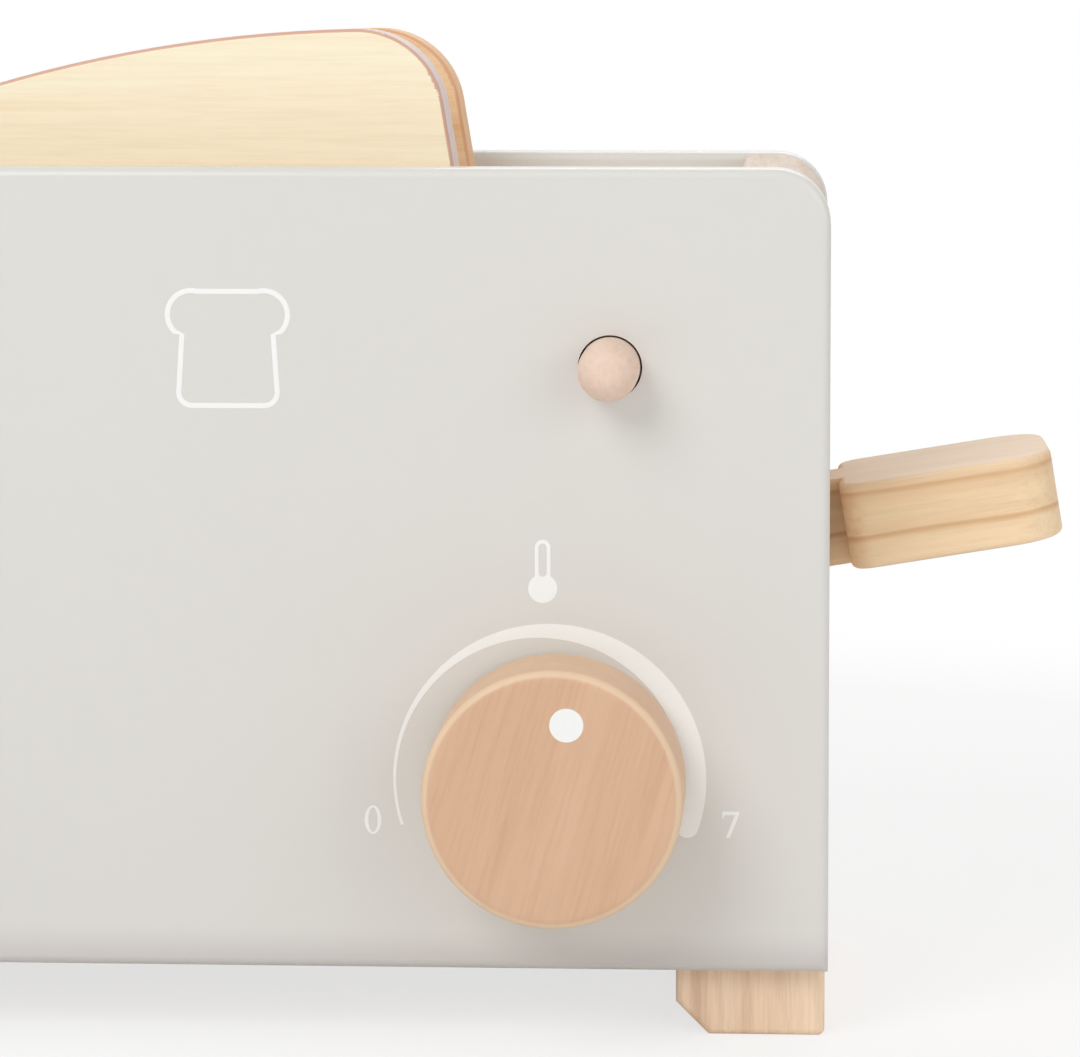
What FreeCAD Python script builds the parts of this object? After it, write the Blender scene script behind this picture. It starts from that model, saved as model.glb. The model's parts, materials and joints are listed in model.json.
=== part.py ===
import FreeCAD, Part
import math
import os

import Sketcher
from FreeCAD import Placement, Rotation, Vector

# Toy toaster of painted boards and bare wood, in millimetres and degrees.
# X runs along the toaster towards the lever, Y from the knob side to the back, Z up.
# The origin lies on the ground, under the middle of the whole toy with its lever and knob.

SIZES = [
    # Casing: two painted boards, two end walls, a floor and two foot rails
    ("body_length", 200, "casing, end to end"),
    ("body_depth", 84, "casing, front face to back face"),
    ("body_height", 134, "height of the boards"),
    ("board_thickness", 9, "front and rear board"),
    ("wall_thickness", 15, "end walls"),
    ("wall_inset", 0.5, "end walls stand back from the edges of the boards"),
    ("corner_radius", 9.2, "upper corners of boards and walls"),
    ("board_edge_radius", 1.6, "rounded edges of the boards"),
    ("wall_edge_radius", 0.8, "rounded edges of the end walls"),
    ("floor_thickness", 6, "bottom board"),
    ("foot_height", 12, "foot rails"),
    ("foot_width", 25, "foot rails"),
    ("foot_inset", 5, "foot rails end short of the boards' outer faces"),
    ("foot_chamfer", 5.5, "inner lower edge of the foot rails"),
    ("foot_edge_radius", 1.2, "other edges of the foot rails"),
    ("screw_radius", 1.6, "wood screws"),
    ("screw_head_radius", 3.2, "countersunk heads"),
    ("screw_head_height", 2, "countersunk heads"),
    ("screw_length", 26, "foot screws"),
    ("screw_spread", 44, "distance between the screws of one foot rail"),
    ("dowel_radius", 3, "hidden dowels between boards and end walls"),
    ("dowel_length", 20, "hidden dowels"),
    ("dowel_in_board", 6, "depth of the dowels in the boards"),
    ("dowel_low", 30, "height of the lower dowels above the ground"),
    ("dowel_high", 128, "height of the upper dowels above the ground"),
    ("glue_gap", 0.05, "radial room round a glued dowel or driven screw"),
    # Bread slots: a divider in the middle and a guide rail on each board
    ("divider_thickness", 15, "board between the slots"),
    ("slot_width", 15, "width of each bread slot"),
    ("slot_top_drop", 6, "divider and guides end below the boards' upper edge"),
    ("divider_height", 40, "board between the slots"),
    ("guide_height", 36, "guide rails"),
    ("front_guide_gap", 8.7, "from the front guide's end to the button axis"),
    ("guide_edge_radius", 1.5, "rounded upper edges of divider and guides"),
    ("spring_notch_width", 14, "notch in the divider for the return spring"),
    ("spring_notch_height", 27, "notch in the divider for the return spring"),
    # Lever: one board on a dowel, with a wide paddle outside the right wall
    ("pivot_inset", 11, "pivot from the left wall's inner face"),
    ("pivot_height", 54, "pivot above the ground"),
    ("pivot_radius", 4, "pivot dowel"),
    ("pivot_seat", 5, "depth of the pivot dowel in each board"),
    ("running_gap", 0.05, "radial clearance of what turns or slides on a pin"),
    ("side_gap", 0.3, "clearance beside and between moving pieces"),
    ("spacer_radius", 7, "tubes that keep the lever in the middle"),
    ("lever_tilt", 9.4, "lever at rest, from the horizontal"),
    ("lever_swing", 18, "travel of the lever from rest to its lower stop"),
    ("lever_thickness", 15, "lever board"),
    ("lever_width", 14, "arm of the lever inside the casing"),
    ("lever_heel", 7.5, "lever board beyond its pivot"),
    ("lever_slot_gap", 1, "clearance each side of the arm in the right wall"),
    ("paddle_gap", 1.7, "paddle from the right end of the boards"),
    ("paddle_length", 37, "paddle"),
    ("paddle_width", 36, "paddle"),
    ("paddle_end_radius", 9, "outer corners of the paddle"),
    ("paddle_heel_radius", 4, "inner corners of the paddle"),
    ("lever_edge_radius", 1.2, "rounded edges of the paddle"),
    ("catch_radius", 2, "steel catch pin in the side of the lever"),
    ("catch_seat", 8, "depth of the catch pin in the lever"),
    ("catch_reach", 7, "catch pin beyond the side of the lever"),
    # Bread: two slices in the pockets of a tray on the lever
    ("slice_width", 94, "bread slice"),
    ("slice_height", 90.9, "bread slice, to the top of its crown"),
    ("slice_thickness", 11, "bread slice"),
    ("crown_radius", 236, "arched upper edge of a slice"),
    ("shoulder_radius", 15, "upper corners of a slice"),
    ("slice_foot_radius", 5, "lower corners of a slice"),
    ("slice_edge_radius", 0.8, "rounded edges of a slice"),
    ("tray_gap", 9, "from the tray's end to the latch, along the lever"),
    ("seat_gap", 0.1, "under a slice in its pocket"),
    ("tray_length", 100, "bread tray"),
    ("tray_width", 54, "bread tray"),
    ("tray_thickness", 6, "bread tray"),
    ("pocket_depth", 4, "pockets of the tray"),
    ("pocket_gap", 0.4, "clearance round a slice in its pocket"),
    ("tray_edge_radius", 1.5, "upper edges and corners of the tray"),
    ("tray_screw_spread", 70, "distance between the tray's screws"),
    ("tray_screw_length", 14, "tray screws"),
    # Return spring between two screw eyes
    ("spring_from_wall", 11.9, "return spring from the right wall's inner face"),
    ("eye_radius", 2.5, "screw eyes, middle of the wire"),
    ("eye_wire_radius", 0.6, "screw eyes"),
    ("eye_shank_length", 8, "screw eyes"),
    ("coil_radius", 3, "return spring, outside"),
    ("coil_wire", 1, "return spring, wire diameter"),
    ("coil_turns", 12, "return spring"),
    ("hook_wire_radius", 0.4, "end hooks of the springs"),
    ("hook_radius", 2.2, "end loops of the return spring"),
    # Knob on its axle
    ("knob_from_end", 44.9, "knob axis from the right end of the casing"),
    ("knob_height", 44.6, "knob axis above the ground"),
    ("knob_radius", 21.3, "knob"),
    ("knob_thickness", 18, "knob"),
    ("knob_edge_radius", 2, "rounded edges of the knob"),
    ("knob_gap", 0.8, "between knob and front board"),
    ("axle_radius", 4, "wooden axle of the knob"),
    ("axle_seat", 12, "depth of the axle in the knob"),
    ("washer_radius", 5.5, "washer behind the front board"),
    ("washer_thickness", 1.5, "washer and collar behind the front board"),
    ("axle_screw_radius", 1.5, "screw in the end of the axle"),
    ("axle_screw_length", 12, "screw in the end of the axle"),
    ("axle_screw_head_radius", 3, "screw in the end of the axle"),
    ("axle_screw_head_height", 2, "screw in the end of the axle"),
    # Push button and the latch behind it
    ("button_from_end", 36.3, "button axis from the right end of the casing"),
    ("button_height", 113.2, "button axis above the ground"),
    ("button_radius", 5, "button dowel"),
    ("button_hole_gap", 0.33, "visible gap round the button"),
    ("button_proud", 11, "button in front of the front board"),
    ("button_dome_radius", 4.4, "rounded end of the button"),
    ("collar_radius", 7, "collar that keeps the button in"),
    ("spigot_radius", 2.5, "end of the button that pushes the latch"),
    ("spigot_gap", 0.4, "between button and latch"),
    ("latch_width", 8, "latch, along X"),
    ("latch_thickness", 3, "arms of the latch"),
    ("latch_standoff", 4, "latch from the front board's inner face"),
    ("latch_pivot_height", 62, "latch pivot above the ground"),
    ("latch_pin_radius", 1.5, "steel pin of the latch"),
    ("latch_boss_radius", 3.6, "latch round its pin"),
    ("latch_above_button", 5.7, "latch above the button's axis"),
    ("nose_height", 4, "tip of the latch's nose"),
    ("nose_slope", 11, "rise of the nose's ramp"),
    ("nose_gap", 0.5, "between the nose and the passing catch pin"),
    ("hook_over_gap", 0.4, "hook above the catch pin when the lever is down"),
    ("bracket_thickness", 1, "sheet of the latch bracket"),
    ("ear_thickness", 1.6, "ears of the latch bracket"),
    ("bracket_height", 21, "latch bracket"),
    ("ear_height", 9, "ears of the latch bracket"),
    ("torsion_width", 4, "torsion spring on the latch pin"),
    ("torsion_radius", 3.2, "torsion spring, outside"),
    ("torsion_turns", 4, "torsion spring"),
    ("torsion_leg", 5, "leg of the torsion spring below the pin"),
    ("torsion_leg_gap", 0.45, "leg of the torsion spring from the latch"),
    ("small_screw_radius", 1, "bracket screws"),
    ("small_screw_head_radius", 2.2, "bracket screws"),
    ("small_screw_head_height", 1.2, "bracket screws"),
    ("small_screw_length", 6, "bracket screws"),
    ("small_screw_spread", 17, "distance between the bracket screws"),
]

# Places that follow from the sizes, as expressions on the sheet
INNER_X = "(Sizes.body_length / 2 - Sizes.wall_thickness)"
INNER_Y = "(Sizes.body_depth / 2 - Sizes.board_thickness)"
WALL_X = "(Sizes.body_length / 2 - Sizes.wall_inset)"
WALL_MIDDLE_X = "(Sizes.body_length / 2 - Sizes.wall_thickness / 2)"
FLOOR_Z = "(Sizes.foot_height + Sizes.floor_thickness)"
TOP_Z = "(Sizes.foot_height + Sizes.body_height)"
SLOT_TOP_Z = f"({TOP_Z} - Sizes.slot_top_drop)"
SLOT_Y = "(Sizes.divider_thickness / 2 + Sizes.slot_width / 2)"
PIVOT_X = f"(Sizes.pivot_inset - {INNER_X})"
KNOB_X = "(Sizes.body_length / 2 - Sizes.knob_from_end)"
BUTTON_X = "(Sizes.body_length / 2 - Sizes.button_from_end)"
LATCH_LEFT_X = f"({BUTTON_X} - Sizes.latch_width / 2)"
LATCH_RIGHT_X = f"({BUTTON_X} + Sizes.latch_width / 2)"
SLICE_REACH = (
    f"(({LATCH_LEFT_X} - {PIVOT_X}) / cos(Sizes.lever_tilt)"
    " - Sizes.tray_gap - Sizes.tray_length / 2)"
)
HALF_LEVER = "(Sizes.lever_thickness / 2)"
LOWEST_TILT = "(Sizes.lever_swing - Sizes.lever_tilt)"
PADDLE_START = (
    f"((Sizes.body_length / 2 + Sizes.paddle_gap - {PIVOT_X}"
    f" + {HALF_LEVER} * sin(Sizes.lever_tilt)) / cos(Sizes.lever_tilt))"
)
PADDLE_END = f"({PADDLE_START} + Sizes.paddle_length)"
PADDLE_ROUNDING = (
    "(Sizes.lever_edge_radius * (cos(Sizes.lever_tilt) + sin(Sizes.lever_tilt) - 1))"
)
REACH_X = (
    f"({PIVOT_X} + {PADDLE_END} * cos(Sizes.lever_tilt)"
    f" + {HALF_LEVER} * sin(Sizes.lever_tilt) - {PADDLE_ROUNDING})"
)
CENTRE_X = f"(({REACH_X} - Sizes.body_length / 2) / 2)"
CENTRE_Y = "(-(Sizes.knob_gap + Sizes.knob_thickness) / 2)"
TRAY_START = f"({SLICE_REACH} - Sizes.tray_length / 2)"
TRAY_TOP = f"({HALF_LEVER} + Sizes.tray_thickness)"
POCKET_FLOOR = f"({TRAY_TOP} - Sizes.pocket_depth)"
CATCH_U = f"(({BUTTON_X} - {PIVOT_X}) / cos(Sizes.lever_tilt))"
EYE_V = f"({HALF_LEVER} + Sizes.eye_radius + Sizes.eye_wire_radius + Sizes.side_gap)"
SPRING_X = f"({INNER_X} - Sizes.spring_from_wall)"
SPRING_REACH = (
    f"(({SPRING_X} - {PIVOT_X} + {EYE_V} * sin(Sizes.lever_tilt)) / cos(Sizes.lever_tilt))"
)
LOWER_EYE_Z = (
    f"(Sizes.pivot_height + {SPRING_REACH} * sin(Sizes.lever_tilt)"
    f" + {EYE_V} * cos(Sizes.lever_tilt))"
)
DIVIDER_Z = f"({SLOT_TOP_Z} - Sizes.divider_height)"
NOTCH_TOP_Z = f"({DIVIDER_Z} + Sizes.spring_notch_height)"
UPPER_EYE_Z = f"({NOTCH_TOP_Z} - Sizes.eye_radius - Sizes.eye_wire_radius - Sizes.side_gap)"
KNOB_BACK_Y = "(-Sizes.body_depth / 2 - Sizes.knob_gap)"
WASHER_Y = f"(-{INNER_Y} + Sizes.side_gap)"
LATCH_Y = f"(-{INNER_Y} + Sizes.latch_standoff)"
LATCH_PIVOT_Y = f"({LATCH_Y} + Sizes.latch_thickness / 2)"
CATCH_DOWN_Z = f"(Sizes.pivot_height - {CATCH_U} * sin({LOWEST_TILT}))"
NOSE_Z = f"({CATCH_DOWN_Z} + Sizes.catch_radius + Sizes.hook_over_gap)"
NOSE_Y = "(-Sizes.lever_width / 2 - Sizes.catch_reach - Sizes.nose_gap)"
EAR_LEFT_X = f"({LATCH_LEFT_X} - Sizes.side_gap - Sizes.ear_thickness)"
TORSION_X = f"({LATCH_RIGHT_X} + Sizes.side_gap)"
EAR_RIGHT_X = f"({TORSION_X} + Sizes.torsion_width + Sizes.side_gap)"
BRACKET_RIGHT_X = f"({EAR_RIGHT_X} + Sizes.ear_thickness)"
BRACKET_Y = f"(-{INNER_Y} + Sizes.bracket_thickness)"
TORSION_LEG_Y = f"({LATCH_Y} - Sizes.torsion_leg_gap - Sizes.hook_wire_radius)"

doc = FreeCAD.newDocument("toy_toaster")
sheet = doc.addObject("Spreadsheet::Sheet", "Sizes")
for row, (alias, number, note) in enumerate(SIZES, start=1):
    sheet.set(f"A{row}", str(number))
    sheet.setAlias(f"A{row}", alias)
    sheet.set(f"B{row}", note)
doc.recompute()
finished = []


def value(expression):
    """The number that an expression on the sheet has now."""
    result = sheet.evalExpression(str(expression))
    return float(getattr(result, "Value", result))


def bind(thing, path, expression):
    thing.setExpression(path, str(expression))


def finish(piece, label):
    """Keeps a piece as a sub-part under its own name."""
    piece.Label = label
    finished.append(piece)
    return piece


def place(piece, x="0", y="0", z="0", axis=None, angle=None):
    """Puts a piece at a point of the casing, turned about an axis."""
    if axis is not None:
        piece.Placement = Placement(Vector(), Rotation(Vector(*axis), value(angle)))
        bind(piece, "Placement.Rotation.Angle", angle)
    bind(piece, "Placement.Base.x", f"{x} - {CENTRE_X}")
    bind(piece, "Placement.Base.y", f"{y} - {CENTRE_Y}")
    bind(piece, "Placement.Base.z", z)
    return piece


def new_body(label):
    """A body in the casing's own coordinates."""
    body = doc.addObject("PartDesign::Body", label)
    return finish(place(body), label)


def lever_body(label):
    """A body in the lever's coordinates: X along the arm from its pivot, Z across it."""
    body = doc.addObject("PartDesign::Body", label)
    place(body, PIVOT_X, "0", "Sizes.pivot_height", (0, -1, 0), "Sizes.lever_tilt")
    return finish(body, label)


def add_sketch(body, role, offset="0", across="0", up="0"):
    """A sketch on one of the body's planes, moved along the plane's normal and in it."""
    sketch = body.newObject("Sketcher::SketchObject", f"{body.Label}_sketch")
    plane = [f for f in body.Origin.OriginFeatures if f.Role == role][0]
    sketch.AttachmentSupport = [(plane, "")]
    sketch.MapMode = "FlatFace"
    bind(sketch, "AttachmentOffset.Base.x", across)
    bind(sketch, "AttachmentOffset.Base.y", up)
    bind(sketch, "AttachmentOffset.Base.z", offset)
    return sketch


def fix_point(sketch, line, end, x, y):
    """Holds one end of a line, or the centre of a circle, at a point given by expressions."""
    for kind, expression in (("DistanceX", x), ("DistanceY", y)):
        rule = Sketcher.Constraint(kind, -1, 1, line, end, value(expression))
        index = sketch.addConstraint(rule)
        bind(sketch, f"Constraints[{index}]", expression)


def draw_polygon(sketch, points):
    corners = [Vector(value(x), value(y), 0) for x, y in points]
    first = sketch.GeometryCount
    count = len(points)
    for i in range(count):
        sketch.addGeometry(Part.LineSegment(corners[i], corners[(i + 1) % count]), False)
    for i in range(count):
        following = first + (i + 1) % count
        sketch.addConstraint(Sketcher.Constraint("Coincident", first + i, 2, following, 1))
        fix_point(sketch, first + i, 1, points[i][0], points[i][1])
    return sketch


def draw_rectangle(sketch, left, right, low, high):
    return draw_polygon(sketch, [(left, low), (right, low), (right, high), (left, high)])


def draw_circle(sketch, x, y, radius):
    centre = Vector(value(x), value(y), 0)
    circle = sketch.addGeometry(Part.Circle(centre, Vector(0, 0, 1), value(radius)), False)
    fix_point(sketch, circle, 3, x, y)
    index = sketch.addConstraint(Sketcher.Constraint("Radius", circle, value(radius)))
    bind(sketch, f"Constraints[{index}]", radius)
    return sketch


def add_feature(body, kind, sketch, length=None, reverse=False, middle=False):
    """Pads or cuts a sketch, and makes sure that the solid changed as it should."""
    before = body.Shape.Volume if body.Shape and not body.Shape.isNull() else 0.0
    feature = body.newObject(f"PartDesign::{kind}", f"{body.Label}_{kind.lower()}")
    feature.Profile = sketch
    feature.Reversed = reverse
    feature.Midplane = middle
    if length is None:
        feature.ReferenceAxis = (sketch, ["V_Axis"])
        feature.Angle = 360
    else:
        bind(feature, "Length", length)
    doc.recompute()
    change = body.Shape.Volume - before
    if (change <= 0) != (kind in ("Pocket", "Groove")) or abs(change) < 1e-6:
        raise ValueError(f"{feature.Name} changed the volume by {change}")
    return feature


def pad(body, sketch, length, reverse=False, middle=False):
    return add_feature(body, "Pad", sketch, length, reverse, middle)


def pocket(body, sketch, length, reverse=False, middle=False):
    return add_feature(body, "Pocket", sketch, length, reverse, middle)


def find_edges(shape, along=None, **at):
    """Names of the edges along an axis whose middle has the given coordinates."""
    names = []
    for number, edge in enumerate(shape.Edges, start=1):
        box = edge.BoundBox
        middle = {"x": box.Center.x, "y": box.Center.y, "z": box.Center.z}
        spans = {"x": box.XLength, "y": box.YLength, "z": box.ZLength}
        if along and any(spans[a] > 1e-3 for a in "xyz" if a != along):
            continue
        if along and spans[along] < 1e-3:
            continue
        if all(min(abs(middle[a] - v) for v in at[a]) < 1e-3 for a in at):
            names.append(f"Edge{number}")
    return names


def dress(body, kind, size, names):
    """Rounds or chamfers the named edges of the body's last feature."""
    previous = body.Tip
    feature = body.newObject(f"PartDesign::{kind}", f"{body.Label}_{kind.lower()}")
    feature.Base = (previous, names)
    bind(feature, "Radius" if kind == "Fillet" else "Size", size)
    body.Tip = feature
    doc.recompute()
    return feature


def face_edges(shape, axis, coordinate):
    """Names of all edges that lie in one plane across an axis."""
    names = []
    for number, edge in enumerate(shape.Edges, start=1):
        box = edge.BoundBox
        low = {"x": box.XMin, "y": box.YMin, "z": box.ZMin}[axis]
        high = {"x": box.XMax, "y": box.YMax, "z": box.ZMax}[axis]
        if abs(low - coordinate) < 1e-3 and abs(high - coordinate) < 1e-3:
            names.append(f"Edge{number}")
    return names


def cylinder(x, y, z, radius, length, axis=None, angle="90"):
    """A cylinder from a point of the casing, along +Z or turned about an axis."""
    piece = doc.addObject("Part::Cylinder", "cylinder")
    bind(piece, "Radius", radius)
    bind(piece, "Height", length)
    return place(piece, x, y, z, axis, angle)


def cone(x, y, z, low, high, length, axis=None, angle="90"):
    piece = doc.addObject("Part::Cone", "cone")
    bind(piece, "Radius1", low)
    bind(piece, "Radius2", high)
    bind(piece, "Height", length)
    return place(piece, x, y, z, axis, angle)


def wire_ring(x, y, z, radius, wire, axis):
    """A ring of wire with an eight-sided section, about +Z before it is turned."""
    middle = value(radius)
    reach = value(wire) / math.cos(math.pi / 8)
    points = []
    for i in range(8):
        turn = math.radians(45 * i + 22.5)
        points.append(Vector(middle + reach * math.cos(turn), 0, reach * math.sin(turn)))
    profile = Part.Face(Part.makePolygon(points + [points[0]]))
    piece = doc.addObject("Part::Feature", "ring")
    piece.Shape = profile.revolve(Vector(), Vector(0, 0, 1), 360)
    return place(piece, x, y, z, axis, "90")


def fuse(label, pieces):
    whole = doc.addObject("Part::MultiFuse", label)
    whole.Shapes = pieces
    return whole


def group(label, pieces):
    whole = doc.addObject("Part::Compound", label)
    whole.Links = pieces
    return finish(whole, label)


# The turns that bring a cylinder's axis from +Z to +Y, to -Y and to +X
TO_BACK = (-1, 0, 0)
TO_FRONT = (1, 0, 0)
TO_RIGHT = (0, 1, 0)


def dowel_places(z_list=("Sizes.dowel_low", "Sizes.dowel_high")):
    """Where the hidden dowels run, in X and Z."""
    return [(side + WALL_MIDDLE_X, z) for side in ("-", "") for z in z_list]


def screw_hole_places():
    """Where the bracket's screws go into the front board, in X and Z."""
    middle = f"({EAR_LEFT_X} + {BRACKET_RIGHT_X}) / 2"
    spread = "Sizes.small_screw_spread / 2"
    return [(middle, f"Sizes.latch_pivot_height {sign} {spread}") for sign in "+-"]


def make_board(label, side):
    """A front (side -1) or rear (side 1) board with its rounded corners and blind holes."""
    body = new_body(label)
    toward_back = side < 0
    outer = "Sizes.body_depth / 2" if side < 0 else "-Sizes.body_depth / 2"
    inner = INNER_Y if side < 0 else f"-{INNER_Y}"
    half = "Sizes.body_length / 2"
    sketch = add_sketch(body, "XZ_Plane", outer)
    draw_rectangle(sketch, f"-{half}", half, "Sizes.foot_height", TOP_Z)
    pad(body, sketch, "Sizes.board_thickness", reverse=toward_back)
    top = value(TOP_Z)
    half_length = value(half)
    corners = find_edges(body.Tip.Shape, "y", x=(-half_length, half_length), z=(top,))
    dress(body, "Fillet", "Sizes.corner_radius", corners)
    outline = []
    for depth in (value("Sizes.body_depth / 2"), value(INNER_Y)):
        outline += face_edges(body.Tip.Shape, "y", side * depth)
    dress(body, "Fillet", "Sizes.board_edge_radius", outline)
    holes = add_sketch(body, "XZ_Plane", inner)
    for x, z in dowel_places():
        draw_circle(holes, x, z, "Sizes.dowel_radius + Sizes.glue_gap")
    pocket(body, holes, "Sizes.dowel_in_board", reverse=toward_back)
    seat = add_sketch(body, "XZ_Plane", inner)
    draw_circle(seat, PIVOT_X, "Sizes.pivot_height", "Sizes.pivot_radius + Sizes.glue_gap")
    pocket(body, seat, "Sizes.pivot_seat", reverse=toward_back)
    return body


def make_front_board():
    body = make_board("front_panel", -1)
    through = add_sketch(body, "XZ_Plane", INNER_Y)
    button_hole = "Sizes.button_radius + Sizes.button_hole_gap"
    draw_circle(through, BUTTON_X, "Sizes.button_height", button_hole)
    axle_hole = "Sizes.axle_radius + Sizes.running_gap"
    draw_circle(through, KNOB_X, "Sizes.knob_height", axle_hole)
    pocket(body, through, "Sizes.board_thickness", reverse=True)
    pilot = add_sketch(body, "XZ_Plane", INNER_Y)
    for x, z in screw_hole_places():
        draw_circle(pilot, x, z, "Sizes.small_screw_radius + Sizes.glue_gap")
    depth = "Sizes.small_screw_length - Sizes.bracket_thickness + Sizes.side_gap"
    pocket(body, pilot, depth, reverse=True)


def make_wall(label, side):
    """An end wall with its rounded outer corner, dowel holes and foot screw holes."""
    body = new_body(label)
    sign = "-" if side < 0 else ""
    edges = [f"{sign}{INNER_X}", f"{sign}{WALL_X}"]
    top = f"({TOP_Z} - Sizes.wall_inset)"
    sketch = add_sketch(body, "XZ_Plane", "0")
    draw_rectangle(sketch, edges[0], edges[1], "Sizes.foot_height", top)
    pad(body, sketch, f"2 * {INNER_Y}", middle=True)
    corner = find_edges(body.Tip.Shape, "y", x=(side * value(WALL_X),), z=(value(top),))
    dress(body, "Fillet", "Sizes.corner_radius - Sizes.wall_inset", corner)
    inner_edge = find_edges(body.Tip.Shape, "y", x=(side * value(INNER_X),), z=(value(top),))
    dress(body, "Fillet", "Sizes.wall_edge_radius", inner_edge)
    for end in ("", "-"):
        holes = add_sketch(body, "XZ_Plane", f"{end}{INNER_Y}")
        for z in ("Sizes.dowel_low", "Sizes.dowel_high"):
            draw_circle(holes, sign + WALL_MIDDLE_X, z, "Sizes.dowel_radius + Sizes.glue_gap")
        depth = "Sizes.dowel_length - Sizes.dowel_in_board"
        pocket(body, holes, depth, reverse=(end == "-"))
    pilot = add_sketch(body, "XY_Plane", "Sizes.foot_height")
    for y in ("-Sizes.screw_spread / 2", "Sizes.screw_spread / 2"):
        draw_circle(pilot, sign + WALL_MIDDLE_X, y, "Sizes.screw_radius + Sizes.glue_gap")
    depth = "Sizes.screw_length + Sizes.side_gap - Sizes.foot_height"
    pocket(body, pilot, depth, reverse=True)
    return body


def make_right_wall():
    """The wall with the upright slot that the lever passes through."""
    body = make_wall("right_side_wall", 1)
    reach = f"({WALL_X} - {PIVOT_X})"
    drop = f"{HALF_LEVER} / cos({LOWEST_TILT})"
    rise = f"{HALF_LEVER} / cos(Sizes.lever_tilt)"
    low = f"Sizes.pivot_height - {reach} * tan({LOWEST_TILT}) - {drop} - Sizes.side_gap"
    high = f"Sizes.pivot_height + {reach} * tan(Sizes.lever_tilt) + {rise} + Sizes.side_gap"
    half = "Sizes.lever_width / 2 + Sizes.lever_slot_gap"
    slot = add_sketch(body, "YZ_Plane", INNER_X)
    draw_rectangle(slot, f"-({half})", half, low, high)
    pocket(body, slot, "Sizes.wall_thickness", reverse=True)


def make_floor():
    body = new_body("bottom_board")
    sketch = add_sketch(body, "XY_Plane", "Sizes.foot_height")
    draw_rectangle(sketch, f"-{INNER_X}", INNER_X, f"-{INNER_Y}", INNER_Y)
    pad(body, sketch, "Sizes.floor_thickness")


def make_foot(label, side):
    """A foot rail from front to back, with its inner lower edge cut at 45 degrees."""
    body = new_body(label)
    sign = "-" if side < 0 else ""
    outer = f"{sign}{WALL_X}"
    inner = f"{sign}({WALL_X} - Sizes.foot_width)"
    cut = f"{sign}({WALL_X} - Sizes.foot_width + Sizes.foot_chamfer)"
    sketch = add_sketch(body, "XZ_Plane", "0")
    points = [
        (cut, "0"),
        (outer, "0"),
        (outer, "Sizes.foot_height"),
        (inner, "Sizes.foot_height"),
        (inner, "Sizes.foot_chamfer"),
    ]
    draw_polygon(sketch, points)
    pad(body, sketch, "Sizes.body_depth - 2 * Sizes.foot_inset", middle=True)
    end = value("Sizes.body_depth / 2 - Sizes.foot_inset")
    edges = face_edges(body.Tip.Shape, "y", -end) + face_edges(body.Tip.Shape, "y", end)
    above = face_edges(body.Tip.Shape, "z", value("Sizes.foot_height"))
    edges = [name for name in edges if name not in above]
    edges += find_edges(body.Tip.Shape, "y", x=(side * value(WALL_X),), z=(0,))
    dress(body, "Fillet", "Sizes.foot_edge_radius", edges)
    half = "Sizes.screw_spread / 2"
    shaft = add_sketch(body, "XY_Plane", "0")
    for y in (f"-{half}", half):
        draw_circle(shaft, sign + WALL_MIDDLE_X, y, "Sizes.screw_radius + Sizes.glue_gap")
    pocket(body, shaft, "Sizes.foot_height", reverse=True)
    heads = add_sketch(body, "XY_Plane", "0")
    for y in (f"-{half}", half):
        draw_circle(heads, sign + WALL_MIDDLE_X, y, "Sizes.screw_head_radius + Sizes.side_gap")
    pocket(body, heads, "Sizes.screw_head_height + 2 * Sizes.side_gap", reverse=True)


def make_foot_screws():
    """Screws from below through the foot rails into the end walls, heads recessed."""
    screws = []
    for x in (f"-{WALL_MIDDLE_X}", WALL_MIDDLE_X):
        for y in ("-Sizes.screw_spread / 2", "Sizes.screw_spread / 2"):
            low = "2 * Sizes.side_gap"
            shaft = cylinder(x, y, low, "Sizes.screw_radius", f"Sizes.screw_length - {low}")
            head = cone(
                x, y, low, "Sizes.screw_head_radius", "Sizes.screw_radius",
                "Sizes.screw_head_height",
            )
            screws.append(fuse("foot_screw", [shaft, head]))
    group("foot_screws", screws)


def make_dowels():
    """Hidden dowels, each in a board and in the edge of an end wall."""
    dowels = []
    for x, z in dowel_places():
        front = f"-{INNER_Y} - Sizes.dowel_in_board"
        back = f"{INNER_Y} + Sizes.dowel_in_board"
        for y, turn in ((front, TO_BACK), (back, TO_FRONT)):
            dowels.append(cylinder(x, y, z, "Sizes.dowel_radius", "Sizes.dowel_length", turn))
    group("panel_dowels", dowels)


def make_divider():
    """The board between the bread slots, with a notch that the return spring hangs in."""
    body = new_body("slot_divider")
    sketch = add_sketch(body, "XZ_Plane", "0")
    half_notch = "Sizes.spring_notch_width / 2"
    points = [
        (f"-{INNER_X}", DIVIDER_Z),
        (f"{SPRING_X} - {half_notch}", DIVIDER_Z),
        (f"{SPRING_X} - {half_notch}", NOTCH_TOP_Z),
        (f"{SPRING_X} + {half_notch}", NOTCH_TOP_Z),
        (f"{SPRING_X} + {half_notch}", DIVIDER_Z),
        (INNER_X, DIVIDER_Z),
        (INNER_X, SLOT_TOP_Z),
        (f"-{INNER_X}", SLOT_TOP_Z),
    ]
    draw_polygon(sketch, points)
    pad(body, sketch, "Sizes.divider_thickness", middle=True)
    side = value("Sizes.divider_thickness / 2")
    edges = find_edges(body.Tip.Shape, "x", y=(-side, side), z=(value(SLOT_TOP_Z),))
    dress(body, "Fillet", "Sizes.guide_edge_radius", edges)
    hole = add_sketch(body, "XY_Plane", NOTCH_TOP_Z)
    draw_circle(hole, SPRING_X, "0", "Sizes.eye_wire_radius + Sizes.glue_gap")
    pocket(body, hole, "Sizes.eye_shank_length", reverse=True)


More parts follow.
